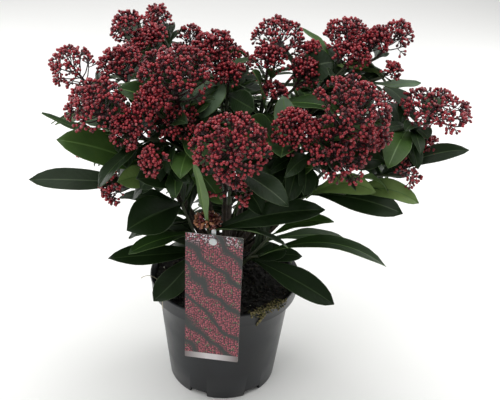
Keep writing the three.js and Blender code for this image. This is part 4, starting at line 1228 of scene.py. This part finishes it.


# glossy printed sheet: small crimson diamonds strewn in slanting wavy bands on dark grey-green; near
# the top many diamonds are whitish, a painted highlight
def printedSheet():
    art, tree, shader = newMaterial("printedSheet", {"Roughness": 0.3, "IOR": 1.5, "Coat Weight": 0.2,
                                                     "Coat Roughness": 0.15})
    parts = labelPlace(tree)
    plane = addNode(tree, "ShaderNodeCombineXYZ", links={0: parts[0], 1: parts[2]}).outputs[0]
    diamonds = addNode(tree, "ShaderNodeTexVoronoi",
                       {"voronoi_dimensions": "2D", "distance": "MANHATTAN",
                        "Scale": 1000 / labelLook["diamond"], "Randomness": 0.75},
                       {"Vector": plane}).outputs
    wave = addNode(tree, "ShaderNodeTexWave",
                   {"bands_direction": "DIAGONAL", "Scale": labelLook["waves"],
                    "Distortion": 6.0, "Detail": 1.0, "Detail Scale": 1.2},
                   {"Vector": plane}).outputs["Fac"]
    inBand = ramp(tree, wave, 0.02, 0.4)
    printedPart = maths(tree, "MULTIPLY", inBand, ramp(tree, diamonds["Distance"], 0.54, 0.4))
    draws = addNode(tree, "ShaderNodeSeparateColor", links={0: diamonds["Color"]}).outputs
    crimson = mixColours(tree, draws[0], "#862738", "#c4606e")
    withGreen = mixColours(tree, ramp(tree, draws[1], 0.9, 0.91), crimson, "#6a7852")
    top = label["foot"] + label["height"]
    # many diamonds in the top band of the sheet turn whitish: a painted highlight
    highlightNearTop = ramp(tree, parts[2], (top - labelLook["highlightFrom"]) * mm, (top - labelLook["highlightTo"]) * mm)
    pale = maths(tree, "MULTIPLY", ramp(tree, draws[2], 0.42, 0.46), highlightNearTop)
    diamondColour = mixColours(tree, pale, withGreen, "#d6cdd3")
    ground = mixColours(tree, noiseOf(tree, plane, 14), "#161d1a", "#2c3330")
    under = mixColours(tree, inBand, ground, "#3a1a20")
    colourBy(tree, shader, printedPart, under, diamondColour)
    bumpOf(tree, shader, noiseOf(tree, plane, 40, 1), 0.5)
    return art


# the bare foot of the sheet: pale film, darker towards both sides
def bareStrip():
    strip, tree, shader = newMaterial("bareStrip", {"Roughness": 0.3, "Coat Weight": 0.4})
    middle = maths(tree, "ABSOLUTE", labelPlace(tree)[0])
    colourBy(tree, shader, ramp(tree, middle, 0.006, 0.031), "#d6d0d1", "#776d6c")
    return strip


def makeLabel():
    width, height, thick = label["width"], label["height"], label["thickness"]
    bm = bmesh.new()
    addBox(bm, width, thick, height)
    corners = [e for e in bm.edges if abs(e.verts[0].co.y - e.verts[1].co.y) > thick * mm / 2]
    roundOff(bm, corners, labelLook["corner"], 4)
    bmesh.ops.bisect_plane(bm, geom=bm.verts[:] + bm.edges[:] + bm.faces[:], plane_no=(0, 0, 1),
                           plane_co=(0, 0, (labelLook["strip"] - height / 2) * mm))
    moveBy(bm, bm.verts, 0, labelBack - thick / 2, label["foot"] + height / 2)
    for face in bm.faces:
        if abs(face.normal.y) < 0.9:
            face.material_index = 2
        elif face.calc_center_median().z < (label["foot"] + labelLook["strip"]) * mm:
            face.material_index = 1
    turnBy(bm, bm.verts, math.radians(-label["turn"]), "Z")
    edge = newMaterial("cutSheetEdge", {"Base Color": linear(labelLook["edge"]), "Roughness": 0.4})[0]
    finished(fromBmesh("label_card", bm, smooth=False), [printedSheet(), bareStrip(), edge], "label",
             slot="label_card")
    print("label made")


def makePin():
    bm = bmesh.new()
    front = labelBack - label["thickness"] - gap
    addDrum(bm, 28, pin["headRadius"], pin["headThickness"])
    roundOff(bm, [e for e in bm.edges if all(v.co.z > 0 for v in e.verts)], pinLook["domeRound"], 3)
    turnBy(bm, bm.verts, math.pi / 2, "X")
    moveBy(bm, bm.verts, 0, front - pin["headThickness"] / 2, 0)
    neck = addDrum(bm, 16, pin["neckRadius"], pinLook["neckLength"])
    turnBy(bm, neck, math.pi / 2, "X")
    moveBy(bm, neck, 0, front + pinLook["neckBack"], 0)
    moveBy(bm, bm.verts, label["holeShift"], 0, holeHeight)
    # the stake lies flat while its top is rounded and its foot drawn in, and is then leant back
    top = holeHeight + pin["stakeRise"]
    rise = top - pin["stakeFoot"]
    length = math.hypot(rise, pin["lean"])
    stake = addBox(bm, pin["stakeWidth"], length, pin["stakeThickness"])
    moveBy(bm, stake, label["holeShift"], -length / 2, pin["stakeThickness"] / 2)
    ends = {v for v in stake if v.co.y > -mm}
    corners = [e for e in bm.edges
               if set(e.verts) <= ends and abs(e.verts[0].co.z - e.verts[1].co.z) > mm]
    foot = [v for v in stake if v.co.y < -length / 2 * mm]
    bmesh.ops.scale(bm, verts=foot, vec=(pinLook["footShare"], 1, 1),
                    space=Matrix.Translation((-label["holeShift"] * mm, 0, 0)))
    made = roundOff(bm, corners, pin["stakeWidth"] * pinLook["stakeRound"], 6)
    whole = list({v for v in stake if v.is_valid} | set(made))
    turnBy(bm, whole, math.pi / 2 + math.atan2(pin["lean"], rise), "X")
    moveBy(bm, whole, 0, labelBack + gap + pin["stakeThickness"], top)
    turnBy(bm, bm.verts, math.radians(-label["turn"]), "Z")
    # moulded polythene, milky white
    milky = {"Roughness": 0.4, "IOR": 1.5, "Subsurface Weight": 0.15, "Subsurface Scale": 0.002}
    material = mottled("mouldedPolythene", 5, "#c9cfd0", "#e2e6e6", milky)[0]
    moulding = fromBmesh("label_pin_moulding", bm)
    crease(moulding)
    finished(moulding, material, "label_pin", slot="pin_plastic")
    print("pin made")


makeLabel()
makePin()


# ---------- floor, light and camera ----------

studio = {"floor": "#f6f6f4", "floorPale": "#f8f8f6", "world": "#ffffff", "worldStrength": 0.3,
          "lamps": [("top", (0.0, 0.5, 3.0), 3.2, 78.0), ("key", (-0.9, -1.1, 1.6), 0.9, 9.0),
                    ("left", (-1.5, 0.7, 0.6), 1.1, 15.0), ("right", (1.5, 0.7, 0.6), 1.1, 15.0)],
          "aim": (0, 0, 0.25)}
camera = {"place": (0, -0.8259, 0.7138), "down": 28.968, "aside": 1.886, "roll": 2.844,
          "focalPixels": 777.9, "imageWidth": 500, "sensor": 36}


def makeStudio():
    bm = bmesh.new()
    bmesh.ops.create_grid(bm, x_segments=1, y_segments=1, size=6)
    floor = fromBmesh("studio_floor", bm)
    # matt painted board, nearly white
    board = mottled("paintedBoard", 300, studio["floor"], studio["floorPale"], {"Roughness": 0.7})[0]
    floor.data.materials.append(board)
    world = bpy.data.worlds.new("studio")
    world.use_nodes = True
    background = world.node_tree.nodes["Background"].inputs
    background[0].default_value = linear(studio["world"])
    background[1].default_value = studio["worldStrength"]
    bpy.context.scene.world = world
    for name, place, size, power in studio["lamps"]:
        lamp = bpy.data.lights.new(name, "AREA")
        lamp.shape = "SQUARE"
        lamp.size = size
        lamp.energy = power
        made = objectOf(name, lamp)
        made.location = place
        way = Vector(studio["aim"]) - Vector(place)
        made.rotation_euler = way.to_track_quat("-Z", "Y").to_euler()
    bpy.context.scene.view_settings.view_transform = "Standard"


def makeCamera():
    down, aside, roll = (math.radians(camera[k]) for k in ("down", "aside", "roll"))
    ahead = Vector((math.sin(aside) * math.cos(down), math.cos(aside) * math.cos(down),
                    -math.sin(down)))
    right = ahead.cross(Vector((0, 0, 1))).normalized()
    above = right.cross(ahead)
    x = right * math.cos(roll) + above * math.sin(roll)
    y = above * math.cos(roll) - right * math.sin(roll)
    data = bpy.data.cameras.new("camera")
    data.sensor_width = camera["sensor"]
    data.lens = camera["focalPixels"] / camera["imageWidth"] * camera["sensor"]
    data.clip_start, data.clip_end = 0.05, 50
    made = objectOf("camera", data)
    axes = Matrix((x, y, -ahead)).transposed().to_4x4()
    made.matrix_world = Matrix.Translation(camera["place"]) @ axes
    bpy.context.scene.camera = made


makeStudio()
makeCamera()
print("studio made")
